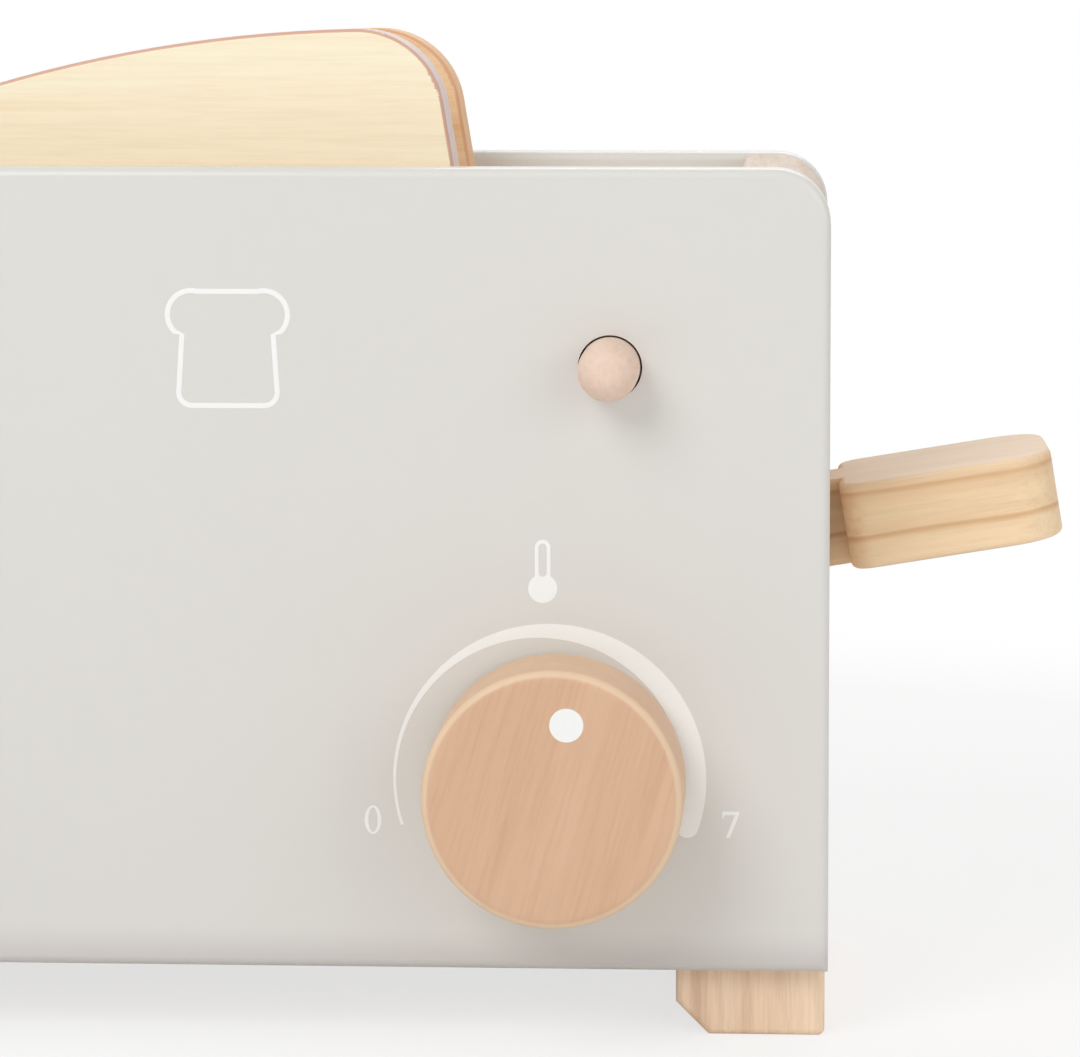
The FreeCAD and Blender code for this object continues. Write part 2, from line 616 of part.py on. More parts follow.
def make_guide(label, side, stop):
    """A rail on a board's inner face that narrows the room beside the divider to a slot."""
    body = new_body(label)
    sign = "-" if side < 0 else ""
    slot_edge = "(Sizes.divider_thickness / 2 + Sizes.slot_width)"
    sketch = add_sketch(body, "YZ_Plane", f"-{INNER_X}")
    low = f"{SLOT_TOP_Z} - Sizes.guide_height"
    draw_rectangle(sketch, f"{sign}{slot_edge}", f"{sign}{INNER_Y}", low, SLOT_TOP_Z)
    pad(body, sketch, f"{INNER_X} + {stop}")
    edge = find_edges(body.Tip.Shape, "x", y=(side * value(slot_edge),), z=(value(SLOT_TOP_Z),))
    dress(body, "Fillet", "Sizes.guide_edge_radius", edge)


def make_pivot():
    """The dowel that carries the lever, and a spacer tube each side of the lever."""
    length = f"2 * ({INNER_Y} + Sizes.pivot_seat)"
    start = f"-{INNER_Y} - Sizes.pivot_seat"
    z = "Sizes.pivot_height"
    finish(cylinder(PIVOT_X, start, z, "Sizes.pivot_radius", length, TO_BACK), "pivot_dowel")
    tubes = []
    room = f"{INNER_Y} - Sizes.lever_width / 2 - 2 * Sizes.side_gap"
    front = f"-{INNER_Y} + Sizes.side_gap"
    back = "Sizes.lever_width / 2 + Sizes.side_gap"
    for y in (front, back):
        outside = cylinder(PIVOT_X, y, z, "Sizes.spacer_radius", room, TO_BACK)
        bore = "Sizes.pivot_radius + Sizes.glue_gap"
        inside = cylinder(PIVOT_X, y, z, bore, room, TO_BACK)
        tube = doc.addObject("Part::Cut", "tube")
        tube.Base = outside
        tube.Tool = inside
        tubes.append(tube)
    group("pivot_spacers", tubes)


def make_lever():
    """The lever board: a narrow arm inside the casing and a wide rounded paddle outside."""
    body = lever_body("lever")
    arm = "Sizes.lever_width / 2"
    wide = "Sizes.paddle_width / 2"
    outline = add_sketch(body, "XY_Plane", f"-{HALF_LEVER}")
    points = [
        ("-Sizes.lever_heel", f"-{arm}"),
        (PADDLE_START, f"-{arm}"),
        (PADDLE_START, f"-{wide}"),
        (PADDLE_END, f"-{wide}"),
        (PADDLE_END, wide),
        (PADDLE_START, wide),
        (PADDLE_START, arm),
        ("-Sizes.lever_heel", arm),
    ]
    draw_polygon(outline, points)
    pad(body, outline, "Sizes.lever_thickness")
    sides = (-value(wide), value(wide))
    outer = find_edges(body.Tip.Shape, "z", x=(value(PADDLE_END),), y=sides)
    dress(body, "Fillet", "Sizes.paddle_end_radius", outer)
    inner = find_edges(body.Tip.Shape, "z", x=(value(PADDLE_START),), y=sides)
    dress(body, "Fillet", "Sizes.paddle_heel_radius", inner)
    half = value(HALF_LEVER)
    heel = find_edges(body.Tip.Shape, "y", x=(-value("Sizes.lever_heel"),), z=(-half, half))
    dress(body, "Fillet", "min(Sizes.lever_heel; Sizes.lever_thickness / 2) - 0.1", heel)
    rim = []
    start = value(PADDLE_START)
    for height in (-half, half):
        flat = face_edges(body.Tip.Shape, "z", height)
        for name in flat:
            edge = body.Tip.Shape.Edges[int(name[4:]) - 1]
            if edge.BoundBox.XMin > start - 1e-3:
                rim.append(name)
    dress(body, "Fillet", "Sizes.lever_edge_radius", rim)
    bore = add_sketch(body, "XZ_Plane", "0")
    draw_circle(bore, "0", "0", "Sizes.pivot_radius + Sizes.running_gap")
    pocket(body, bore, "Sizes.lever_width", middle=True)
    catch = add_sketch(body, "XZ_Plane", arm)
    draw_circle(catch, CATCH_U, "0", "Sizes.catch_radius + Sizes.glue_gap")
    pocket(body, catch, "Sizes.catch_seat")
    top = add_sketch(body, "XY_Plane", HALF_LEVER)
    draw_circle(top, SPRING_REACH, "0", "Sizes.eye_wire_radius + Sizes.glue_gap")
    pocket(body, top, "Sizes.eye_shank_length")
    pilot = add_sketch(body, "XY_Plane", HALF_LEVER)
    for sign in "+-":
        x = f"{SLICE_REACH} {sign} Sizes.tray_screw_spread / 2"
        draw_circle(pilot, x, "0", "Sizes.screw_radius + Sizes.glue_gap")
    pocket(body, pilot, "Sizes.tray_screw_length + Sizes.side_gap - Sizes.tray_thickness")


def make_tray():
    """The tray on the lever, with a pocket for each slice."""
    body = lever_body("bread_tray")
    half = "Sizes.tray_width / 2"
    far = f"{TRAY_START} + Sizes.tray_length"
    sketch = add_sketch(body, "XY_Plane", HALF_LEVER)
    draw_rectangle(sketch, TRAY_START, far, f"-{half}", half)
    pad(body, sketch, "Sizes.tray_thickness")
    rim = face_edges(body.Tip.Shape, "z", value(TRAY_TOP))
    sides = (-value(half), value(half))
    rim += find_edges(body.Tip.Shape, "z", x=(value(TRAY_START), value(far)), y=sides)
    dress(body, "Fillet", "Sizes.tray_edge_radius", rim)
    pockets = add_sketch(body, "XY_Plane", TRAY_TOP)
    reach = "(Sizes.slice_width / 2 + Sizes.pocket_gap)"
    wide = "(Sizes.slice_thickness / 2 + Sizes.pocket_gap)"
    for sign in ("-", ""):
        middle = f"{sign}{SLOT_Y}"
        draw_rectangle(
            pockets, f"{SLICE_REACH} - {reach}", f"{SLICE_REACH} + {reach}",
            f"{middle} - {wide}", f"{middle} + {wide}",
        )
    pocket(body, pockets, "Sizes.pocket_depth")
    holes = add_sketch(body, "XY_Plane", TRAY_TOP)
    heads = add_sketch(body, "XY_Plane", TRAY_TOP)
    for sign in "+-":
        x = f"{SLICE_REACH} {sign} Sizes.tray_screw_spread / 2"
        draw_circle(holes, x, "0", "Sizes.screw_radius + Sizes.glue_gap")
        draw_circle(heads, x, "0", "Sizes.screw_head_radius + Sizes.side_gap")
    pocket(body, holes, "Sizes.tray_thickness")
    pocket(body, heads, "Sizes.screw_head_height + Sizes.side_gap")


def on_lever(u, v):
    """Where a point of the lever lies at rest, in the casing's X and Z."""
    x = f"({PIVOT_X} + ({u}) * cos(Sizes.lever_tilt) - ({v}) * sin(Sizes.lever_tilt))"
    z = f"(Sizes.pivot_height + ({u}) * sin(Sizes.lever_tilt) + ({v}) * cos(Sizes.lever_tilt))"
    return x, z


def make_tray_screws():
    """Two screws from above through the tray into the lever, heads flush."""
    tilt = ((0, -1, 0), "Sizes.lever_tilt")
    screws = []
    low = f"{TRAY_TOP} - Sizes.tray_screw_length"
    neck = f"{TRAY_TOP} - Sizes.screw_head_height - Sizes.side_gap"
    for sign in "+-":
        u = f"{SLICE_REACH} {sign} Sizes.tray_screw_spread / 2"
        x, z = on_lever(u, low)
        length = "Sizes.tray_screw_length - Sizes.side_gap"
        shaft = cylinder(x, "0", z, "Sizes.screw_radius", length, *tilt)
        x, z = on_lever(u, neck)
        head = cone(
            x, "0", z, "Sizes.screw_radius", "Sizes.screw_head_radius",
            "Sizes.screw_head_height", *tilt,
        )
        screws.append(fuse("tray_screw", [shaft, head]))
    group("tray_screws", screws)


def make_slice(label, side):
    """A bread slice with an arched crown and round shoulders, standing in its pocket."""
    body = lever_body(label)
    sign = "-" if side < 0 else ""
    base = f"({POCKET_FLOOR} + Sizes.seat_gap)"
    half = "(Sizes.slice_width / 2)"
    sag = f"(Sizes.crown_radius - sqrt(Sizes.crown_radius ^ 2 - {half} ^ 2))"
    shoulder = f"({base} + Sizes.slice_height - {sag})"
    left = f"({SLICE_REACH} - {half})"
    right = f"({SLICE_REACH} + {half})"
    # The plane's normal points to the front, so a slice at the back has a negative offset
    offset = f"{SLOT_Y}" if side < 0 else f"-{SLOT_Y}"
    sketch = add_sketch(body, "XZ_Plane", offset)
    corners = [(right, shoulder), (left, shoulder), (left, base), (right, base)]
    spots = [Vector(value(x), value(y), 0) for x, y in corners]
    crown_top = Vector(value(SLICE_REACH), value(f"{base} + Sizes.slice_height"), 0)
    sketch.addGeometry(Part.Arc(spots[0], crown_top, spots[1]), False)
    for i in range(3):
        sketch.addGeometry(Part.LineSegment(spots[i + 1], spots[(i + 2) % 4]), False)
    ends = {1: (2, 0), 2: (1, 0)}
    arc = sketch.Geometry[0]
    starts_right = arc.StartPoint.distanceToPoint(spots[0]) < 1e-6
    arc_right, arc_left = (1, 2) if starts_right else (2, 1)
    sketch.addConstraint(Sketcher.Constraint("Coincident", 0, arc_left, 1, 1))
    sketch.addConstraint(Sketcher.Constraint("Coincident", 1, 2, 2, 1))
    sketch.addConstraint(Sketcher.Constraint("Coincident", 2, 2, 3, 1))
    sketch.addConstraint(Sketcher.Constraint("Coincident", 3, 2, 0, arc_right))
    for line, (x, y) in zip((1, 2, 3), corners[1:]):
        fix_point(sketch, line, 1, x, y)
    fix_point(sketch, 3, 2, *corners[0])
    crown = sketch.addConstraint(
        Sketcher.Constraint("Radius", 0, value("Sizes.crown_radius"))
    )
    bind(sketch, f"Constraints[{crown}]", "Sizes.crown_radius")
    pad(body, sketch, "Sizes.slice_thickness", middle=True)
    ends = (value(left), value(right))
    upper = find_edges(body.Tip.Shape, "y", x=ends, z=(value(shoulder),))
    dress(body, "Fillet", "Sizes.shoulder_radius", upper)
    lower = find_edges(body.Tip.Shape, "y", x=ends, z=(value(base),))
    dress(body, "Fillet", "Sizes.slice_foot_radius", lower)
    rim = []
    for face in (-1, 1):
        depth = side * value(SLOT_Y) + face * value("Sizes.slice_thickness / 2")
        rim += face_edges(body.Tip.Shape, "y", depth)
    dress(body, "Fillet", "Sizes.slice_edge_radius", rim)


def make_catch_pin():
    """The steel pin in the front side of the lever that the latch hooks."""
    x, z = on_lever(CATCH_U, "0")
    front = "-Sizes.lever_width / 2 - Sizes.catch_reach"
    length = "Sizes.catch_reach + Sizes.catch_seat"
    finish(cylinder(x, front, z, "Sizes.catch_radius", length, TO_BACK), "catch_pin")


def make_eyes():
    """The screw eyes in the lever and under the divider."""
    u = SPRING_REACH
    x, z = on_lever(u, EYE_V)
    ring = wire_ring(x, "0", z, "Sizes.eye_radius", "Sizes.eye_wire_radius", TO_BACK)
    x, z = on_lever(u, f"{HALF_LEVER} - Sizes.eye_shank_length + Sizes.side_gap")
    length = (
        f"{EYE_V} - Sizes.eye_radius - {HALF_LEVER} + Sizes.eye_shank_length - Sizes.side_gap"
    )
    tilt = ((0, -1, 0), "Sizes.lever_tilt")
    shank = cylinder(x, "0", z, "Sizes.eye_wire_radius", length, *tilt)
    finish(fuse("lower_eye", [ring, shank]), "lower_spring_eye")
    ring = wire_ring(SPRING_X, "0", UPPER_EYE_Z, "Sizes.eye_radius", "Sizes.eye_wire_radius", TO_BACK)
    z = f"({UPPER_EYE_Z} + Sizes.eye_radius)"
    length = f"{NOTCH_TOP_Z} - {z} + Sizes.eye_shank_length - Sizes.side_gap"
    shank = cylinder(SPRING_X, "0", z, "Sizes.eye_wire_radius", length)
    finish(fuse("upper_eye", [ring, shank]), "upper_spring_eye")


def close_wound_coil(label, radius, wire, turns, length):
    """Close-wound turns as a ribbed sleeve about Z: a groove between each turn and the next."""
    points = [Vector(radius - wire, 0, 0)]
    pitch = length / turns
    for turn in range(turns):
        points.append(Vector(radius - wire * 0.3, 0, turn * pitch))
        points.append(Vector(radius, 0, (turn + 0.5) * pitch))
    points.append(Vector(radius - wire * 0.3, 0, length))
    points.append(Vector(radius - wire, 0, length))
    profile = Part.Face(Part.makePolygon(points + [points[0]]))
    coil = doc.addObject("Part::Feature", label)
    coil.Shape = profile.revolve(Vector(), Vector(0, 0, 1), 360)
    return coil


def make_return_spring():
    """The tension spring that lifts the lever: a coil with a long wire and a loop at each end."""
    radius = value("Sizes.coil_radius")
    wire = value("Sizes.coil_wire")
    turns = int(value("Sizes.coil_turns"))
    length = wire * turns
    middle = f"(({LOWER_EYE_Z} + {UPPER_EYE_Z}) / 2)"
    half = "(Sizes.coil_wire * Sizes.coil_turns / 2)"
    coil = close_wound_coil("coil", radius, wire, turns, length)
    place(coil, SPRING_X, "0", f"{middle} - {half}")
    pieces = [coil]
    thin = "Sizes.hook_wire_radius"
    across = "2 * Sizes.coil_radius - Sizes.coil_wire"
    hang = (
        "(Sizes.eye_radius + Sizes.hook_radius - Sizes.hook_wire_radius"
        " - Sizes.eye_wire_radius - Sizes.glue_gap)"
    )
    for sign, eye in (("+", UPPER_EYE_Z), ("-", LOWER_EYE_Z)):
        loop_z = f"({eye} {'-' if sign == '+' else '+'} {hang})"
        pieces.append(wire_ring(SPRING_X, "0", loop_z, "Sizes.hook_radius", thin, TO_RIGHT))
        bar_z = f"({middle} {sign} {half})"
        bar_x = f"{SPRING_X} - Sizes.coil_radius + Sizes.coil_wire / 2"
        pieces.append(cylinder(bar_x, "0", bar_z, thin, across, TO_RIGHT))
        if sign == "+":
            low, high = bar_z, f"({loop_z} - Sizes.hook_radius)"
        else:
            low, high = f"({loop_z} + Sizes.hook_radius)", bar_z
        pieces.append(cylinder(SPRING_X, "0", low, thin, f"{high} - {low}"))
    finish(fuse("spring", pieces), "return_spring")


def make_knob():
    """The turned knob, its axle through the front board, and the washer and screw behind."""
    body = new_body("knob")
    back = "(Sizes.body_depth / 2 + Sizes.knob_gap)"
    sketch = add_sketch(body, "XZ_Plane", back)
    draw_circle(sketch, KNOB_X, "Sizes.knob_height", "Sizes.knob_radius")
    pad(body, sketch, "Sizes.knob_thickness")
    near = value(KNOB_BACK_Y)
    rim = face_edges(body.Tip.Shape, "y", near)
    rim += face_edges(body.Tip.Shape, "y", near - value("Sizes.knob_thickness"))
    dress(body, "Fillet", "Sizes.knob_edge_radius", rim)
    bore = add_sketch(body, "XZ_Plane", back)
    axle_bore = "Sizes.axle_radius + Sizes.glue_gap"
    draw_circle(bore, KNOB_X, "Sizes.knob_height", axle_bore)
    pocket(body, bore, "Sizes.axle_seat", reverse=True)

    axle = new_body("knob_axle")
    sketch = add_sketch(axle, "XZ_Plane", f"-{WASHER_Y}")
    draw_circle(sketch, KNOB_X, "Sizes.knob_height", "Sizes.axle_radius")
    span = f"{WASHER_Y} - {KNOB_BACK_Y} + Sizes.axle_seat - Sizes.side_gap"
    pad(axle, sketch, span)
    bore = add_sketch(axle, "XZ_Plane", f"-{WASHER_Y}")
    screw_bore = "Sizes.axle_screw_radius + Sizes.glue_gap"
    draw_circle(bore, KNOB_X, "Sizes.knob_height", screw_bore)
    depth = "Sizes.axle_screw_length - Sizes.washer_thickness + Sizes.side_gap"
    pocket(axle, bore, depth, reverse=True)

    washer = new_body("knob_washer")
    sketch = add_sketch(washer, "XZ_Plane", f"-{WASHER_Y}")
    draw_circle(sketch, KNOB_X, "Sizes.knob_height", "Sizes.washer_radius")
    draw_circle(sketch, KNOB_X, "Sizes.knob_height", screw_bore)
    pad(washer, sketch, "Sizes.washer_thickness", reverse=True)

    head_y = f"({WASHER_Y} + Sizes.washer_thickness)"
    x = KNOB_X
    z = "Sizes.knob_height"
    shaft_y = f"{head_y} - Sizes.axle_screw_length"
    length = "Sizes.axle_screw_length"
    shaft = cylinder(x, shaft_y, z, "Sizes.axle_screw_radius", length, TO_BACK)
    head = cone(
        x, head_y, z, "Sizes.axle_screw_head_radius", "Sizes.axle_screw_head_radius * 0.7",
        "Sizes.axle_screw_head_height", TO_BACK,
    )
    finish(fuse("screw", [shaft, head]), "knob_screw")


def make_button():
    """The domed dowel in the front board, with the collar that keeps it in."""
    body = new_body("button")
    inner = f"-({WASHER_Y} + Sizes.washer_thickness)"
    sketch = add_sketch(body, "XZ_Plane", inner)
    draw_circle(sketch, BUTTON_X, "Sizes.button_height", "Sizes.button_radius")
    front = "(Sizes.body_depth / 2 + Sizes.button_proud)"
    pad(body, sketch, f"{front} - {inner}")
    tip = face_edges(body.Tip.Shape, "y", -value(front))
    dress(body, "Fillet", "Sizes.button_dome_radius", tip)
    spigot_end = f"(-{LATCH_Y} + Sizes.spigot_gap)"
    spigot = add_sketch(body, "XZ_Plane", inner)
    draw_circle(spigot, BUTTON_X, "Sizes.button_height", "Sizes.spigot_radius")
    pad(body, spigot, f"{inner} - {spigot_end}", reverse=True)
    end = face_edges(body.Tip.Shape, "y", -value(spigot_end))
    dress(body, "Fillet", "Sizes.spigot_radius * 0.4", end)

    collar = new_body("button_collar")
    sketch = add_sketch(collar, "XZ_Plane", f"-{WASHER_Y}")
    draw_circle(sketch, BUTTON_X, "Sizes.button_height", "Sizes.collar_radius")
    bore = "Sizes.button_radius + Sizes.glue_gap"
    draw_circle(sketch, BUTTON_X, "Sizes.button_height", bore)
    pad(collar, sketch, "Sizes.washer_thickness", reverse=True)


def make_latch():
    """The rocking latch: an upper arm behind the button and a hook for the catch pin."""
    body = new_body("latch")
    inside = f"({LATCH_Y} + Sizes.latch_thickness)"
    top = "(Sizes.button_height + Sizes.latch_above_button)"
    sketch = add_sketch(body, "YZ_Plane", LATCH_LEFT_X)
    points = [
        (LATCH_Y, NOSE_Z),
        (NOSE_Y, NOSE_Z),
        (NOSE_Y, f"{NOSE_Z} + Sizes.nose_height"),
        (inside, f"{NOSE_Z} + Sizes.nose_height + Sizes.nose_slope"),
        (inside, top),
        (LATCH_Y, top),
    ]
    draw_polygon(sketch, points)
    pad(body, sketch, "Sizes.latch_width")
    boss = add_sketch(body, "YZ_Plane", LATCH_LEFT_X)
    draw_circle(boss, LATCH_PIVOT_Y, "Sizes.latch_pivot_height", "Sizes.latch_boss_radius")
    pad(body, boss, "Sizes.latch_width")
    bore = add_sketch(body, "YZ_Plane", LATCH_LEFT_X)
    hole = "Sizes.latch_pin_radius + Sizes.running_gap"
    draw_circle(bore, LATCH_PIVOT_Y, "Sizes.latch_pivot_height", hole)
    pocket(body, bore, "Sizes.latch_width", reverse=True)


def make_bracket():
    """The sheet bracket on the front board's inner face, with two ears for the latch pin."""
    body = new_body("latch_bracket")
    half = "Sizes.bracket_height / 2"
    middle = "Sizes.latch_pivot_height"
    sketch = add_sketch(body, "XZ_Plane", INNER_Y)
    draw_rectangle(
        sketch, EAR_LEFT_X, BRACKET_RIGHT_X, f"{middle} - {half}", f"{middle} + {half}"
    )
    pad(body, sketch, "Sizes.bracket_thickness", reverse=True)
    reach = f"({LATCH_PIVOT_Y} + Sizes.latch_boss_radius)"
    ear = "Sizes.ear_height / 2"
    for x in (EAR_LEFT_X, EAR_RIGHT_X):
        sketch = add_sketch(body, "YZ_Plane", x)
        draw_rectangle(sketch, f"-{INNER_Y}", reach, f"{middle} - {ear}", f"{middle} + {ear}")
        pad(body, sketch, "Sizes.ear_thickness")
    tips = find_edges(
        body.Tip.Shape, "x", y=(value(reach),), z=(value(f"{middle} - {ear}"), value(f"{middle} + {ear}"))
    )
    dress(body, "Fillet", "Sizes.ear_height * 0.4", tips)
    bore = add_sketch(body, "YZ_Plane", EAR_LEFT_X)
    draw_circle(bore, LATCH_PIVOT_Y, middle, "Sizes.latch_pin_radius + Sizes.glue_gap")
    pocket(body, bore, f"{BRACKET_RIGHT_X} - {EAR_LEFT_X}", reverse=True)
    holes = add_sketch(body, "XZ_Plane", INNER_Y)
    for x, z in screw_hole_places():
        draw_circle(holes, x, z, "Sizes.small_screw_radius + Sizes.glue_gap")
    pocket(body, holes, "Sizes.bracket_thickness")

    start = f"{EAR_LEFT_X} - Sizes.side_gap"
    length = f"{BRACKET_RIGHT_X} - {EAR_LEFT_X} + 2 * Sizes.side_gap"
    pin = cylinder(start, LATCH_PIVOT_Y, middle, "Sizes.latch_pin_radius", length, TO_RIGHT)
    finish(pin, "latch_pin")

    screws = []
    for x, z in screw_hole_places():
        tip = f"{BRACKET_Y} - Sizes.small_screw_length"
        length = "Sizes.small_screw_length"
        shaft = cylinder(x, tip, z, "Sizes.small_screw_radius", length, TO_BACK)
        head = cone(
            x, BRACKET_Y, z, "Sizes.small_screw_head_radius", "Sizes.small_screw_head_radius * 0.6",
            "Sizes.small_screw_head_height", TO_BACK,
        )
        screws.append(fuse("bracket_screw", [shaft, head]))
    group("bracket_screws", screws)


def make_torsion_spring():
    """The spring on the latch pin: one leg on the bracket, the other behind the latch."""
    radius = value("Sizes.torsion_radius")
    width = value("Sizes.torsion_width")
    turns = int(value("Sizes.torsion_turns"))
    wire = width / turns
    z = "Sizes.latch_pivot_height"
    coil = close_wound_coil("torsion_coil", radius, wire * 0.8, turns, width)
    place(coil, TORSION_X, LATCH_PIVOT_Y, z, TO_RIGHT, "90")
    thin = "Sizes.hook_wire_radius"
    ring = f"(Sizes.torsion_radius - {thin})"
    far_x = f"{TORSION_X} + Sizes.torsion_width - {thin}"
    rest_y = f"({BRACKET_Y} + Sizes.glue_gap)"
    rest = cylinder(
        far_x, rest_y, f"{z} + {ring}", thin, f"{LATCH_PIVOT_Y} - {rest_y}", TO_BACK
    )
    near_x = f"({TORSION_X} + {thin})"
    low = f"{z} - Sizes.torsion_leg"
    down_length = "Sizes.torsion_leg + Sizes.torsion_radius / 2"
    down = cylinder(near_x, TORSION_LEG_Y, low, thin, down_length)
    link_length = f"{LATCH_PIVOT_Y} - {ring} - {TORSION_LEG_Y} + Sizes.coil_wire"
    link = cylinder(near_x, TORSION_LEG_Y, z, thin, link_length, TO_BACK)
    cross_x = BUTTON_X
    cross = cylinder(
        cross_x, TORSION_LEG_Y, low, thin, f"{near_x} - {cross_x} + {thin}", TO_RIGHT
    )
    finish(fuse("torsion", [coil, rest, down, link, cross]), "latch_spring")


make_front_board()
make_board("rear_panel", 1)
make_wall("left_side_wall", -1)
make_right_wall()
make_floor()
make_foot("left_foot", -1)
make_foot("right_foot", 1)
make_foot_screws()
make_dowels()
make_divider()
make_guide("front_slot_guide", -1, f"{BUTTON_X} - Sizes.front_guide_gap")
make_guide("rear_slot_guide", 1, INNER_X)
make_pivot()
make_lever()
make_tray()
make_tray_screws()
make_slice("front_slice", -1)
make_slice("rear_slice", 1)
make_catch_pin()
make_eyes()
make_return_spring()
make_knob()
make_button()
make_latch()
make_bracket()
make_torsion_spring()
doc.recompute()

for piece in doc.Objects:
    if "Invalid" in piece.State or "Error" in piece.State:
        raise ValueError(f"{piece.Label} failed: {piece.State}")
for piece in finished:
    if piece.Shape.isNull() or not piece.Shape.isValid():
        raise ValueError(f"{piece.Label} has no valid shape")

os.makedirs("parts", exist_ok=True)
for piece in finished:
    piece.Shape.exportStep(f"parts/{piece.Label}.step")
    print(piece.Label, len(piece.Shape.Solids), round(piece.Shape.Volume, 1))
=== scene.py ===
import json
import math

import bmesh
import bpy
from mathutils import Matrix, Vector


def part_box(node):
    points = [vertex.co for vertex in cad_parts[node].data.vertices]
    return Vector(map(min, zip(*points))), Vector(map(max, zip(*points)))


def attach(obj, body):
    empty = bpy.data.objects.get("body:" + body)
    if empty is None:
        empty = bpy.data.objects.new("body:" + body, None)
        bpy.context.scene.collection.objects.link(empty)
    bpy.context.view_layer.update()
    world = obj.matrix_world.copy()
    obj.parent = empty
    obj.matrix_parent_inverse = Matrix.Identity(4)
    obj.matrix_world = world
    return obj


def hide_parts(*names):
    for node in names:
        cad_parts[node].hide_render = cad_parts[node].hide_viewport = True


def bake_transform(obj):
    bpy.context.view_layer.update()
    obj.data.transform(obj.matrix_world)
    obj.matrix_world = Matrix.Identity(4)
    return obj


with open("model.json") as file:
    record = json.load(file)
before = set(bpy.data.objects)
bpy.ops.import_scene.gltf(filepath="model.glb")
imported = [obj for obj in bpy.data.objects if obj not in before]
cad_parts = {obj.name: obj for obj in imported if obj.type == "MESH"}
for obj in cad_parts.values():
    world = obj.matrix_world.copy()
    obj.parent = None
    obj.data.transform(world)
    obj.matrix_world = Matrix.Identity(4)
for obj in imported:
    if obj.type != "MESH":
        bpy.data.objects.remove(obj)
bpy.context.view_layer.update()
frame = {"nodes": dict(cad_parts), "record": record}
nodes = frame["nodes"]

# The casing's own coordinates are millimetres: X from its middle, Y from its mid-depth, Z up
CENTRE_X = 20.2366                      # the frame's origin, in the casing's X
CENTRE_Y = -9.4                         # the frame's origin, in the casing's Y
FRONT = -42.0                           # outer face of the front board
PIVOT_X, PIVOT_Z = -74, 54              # axis of the lever's dowel
LEVER_TILT = math.radians(9.4)          # lever at rest, from the horizontal

# How the photograph's pixels map to upright planes: pixels per millimetre times distance,
# the eye's distance from mid-depth, and one point where picture and casing meet
PIXELS_TIMES_DISTANCE = 4200
EYE_DISTANCE = 742
ANCHOR_PIXEL = (835, -36)
ANCHOR_PLACE = (101.2, 180.2)
BOARD_PIXELS = 6                        # pixels per millimetre on the front board
KNOB_PIXELS = 6.166                     # and on the knob's face


def at(x, y, z):
    """A point of the casing's coordinates, in metres in the frame's coordinates."""
    return Vector(((x - CENTRE_X) / 1000, (y - CENTRE_Y) / 1000, z / 1000))


def from_photo(u, v, y=FRONT):
    """Where a pixel of the photograph lies on an upright plane, in the casing's X and Z."""
    scale = PIXELS_TIMES_DISTANCE / (EYE_DISTANCE + y)
    return (ANCHOR_PLACE[0] + (u - ANCHOR_PIXEL[0]) / scale,
            ANCHOR_PLACE[1] - (v - ANCHOR_PIXEL[1]) / scale)


# Materials

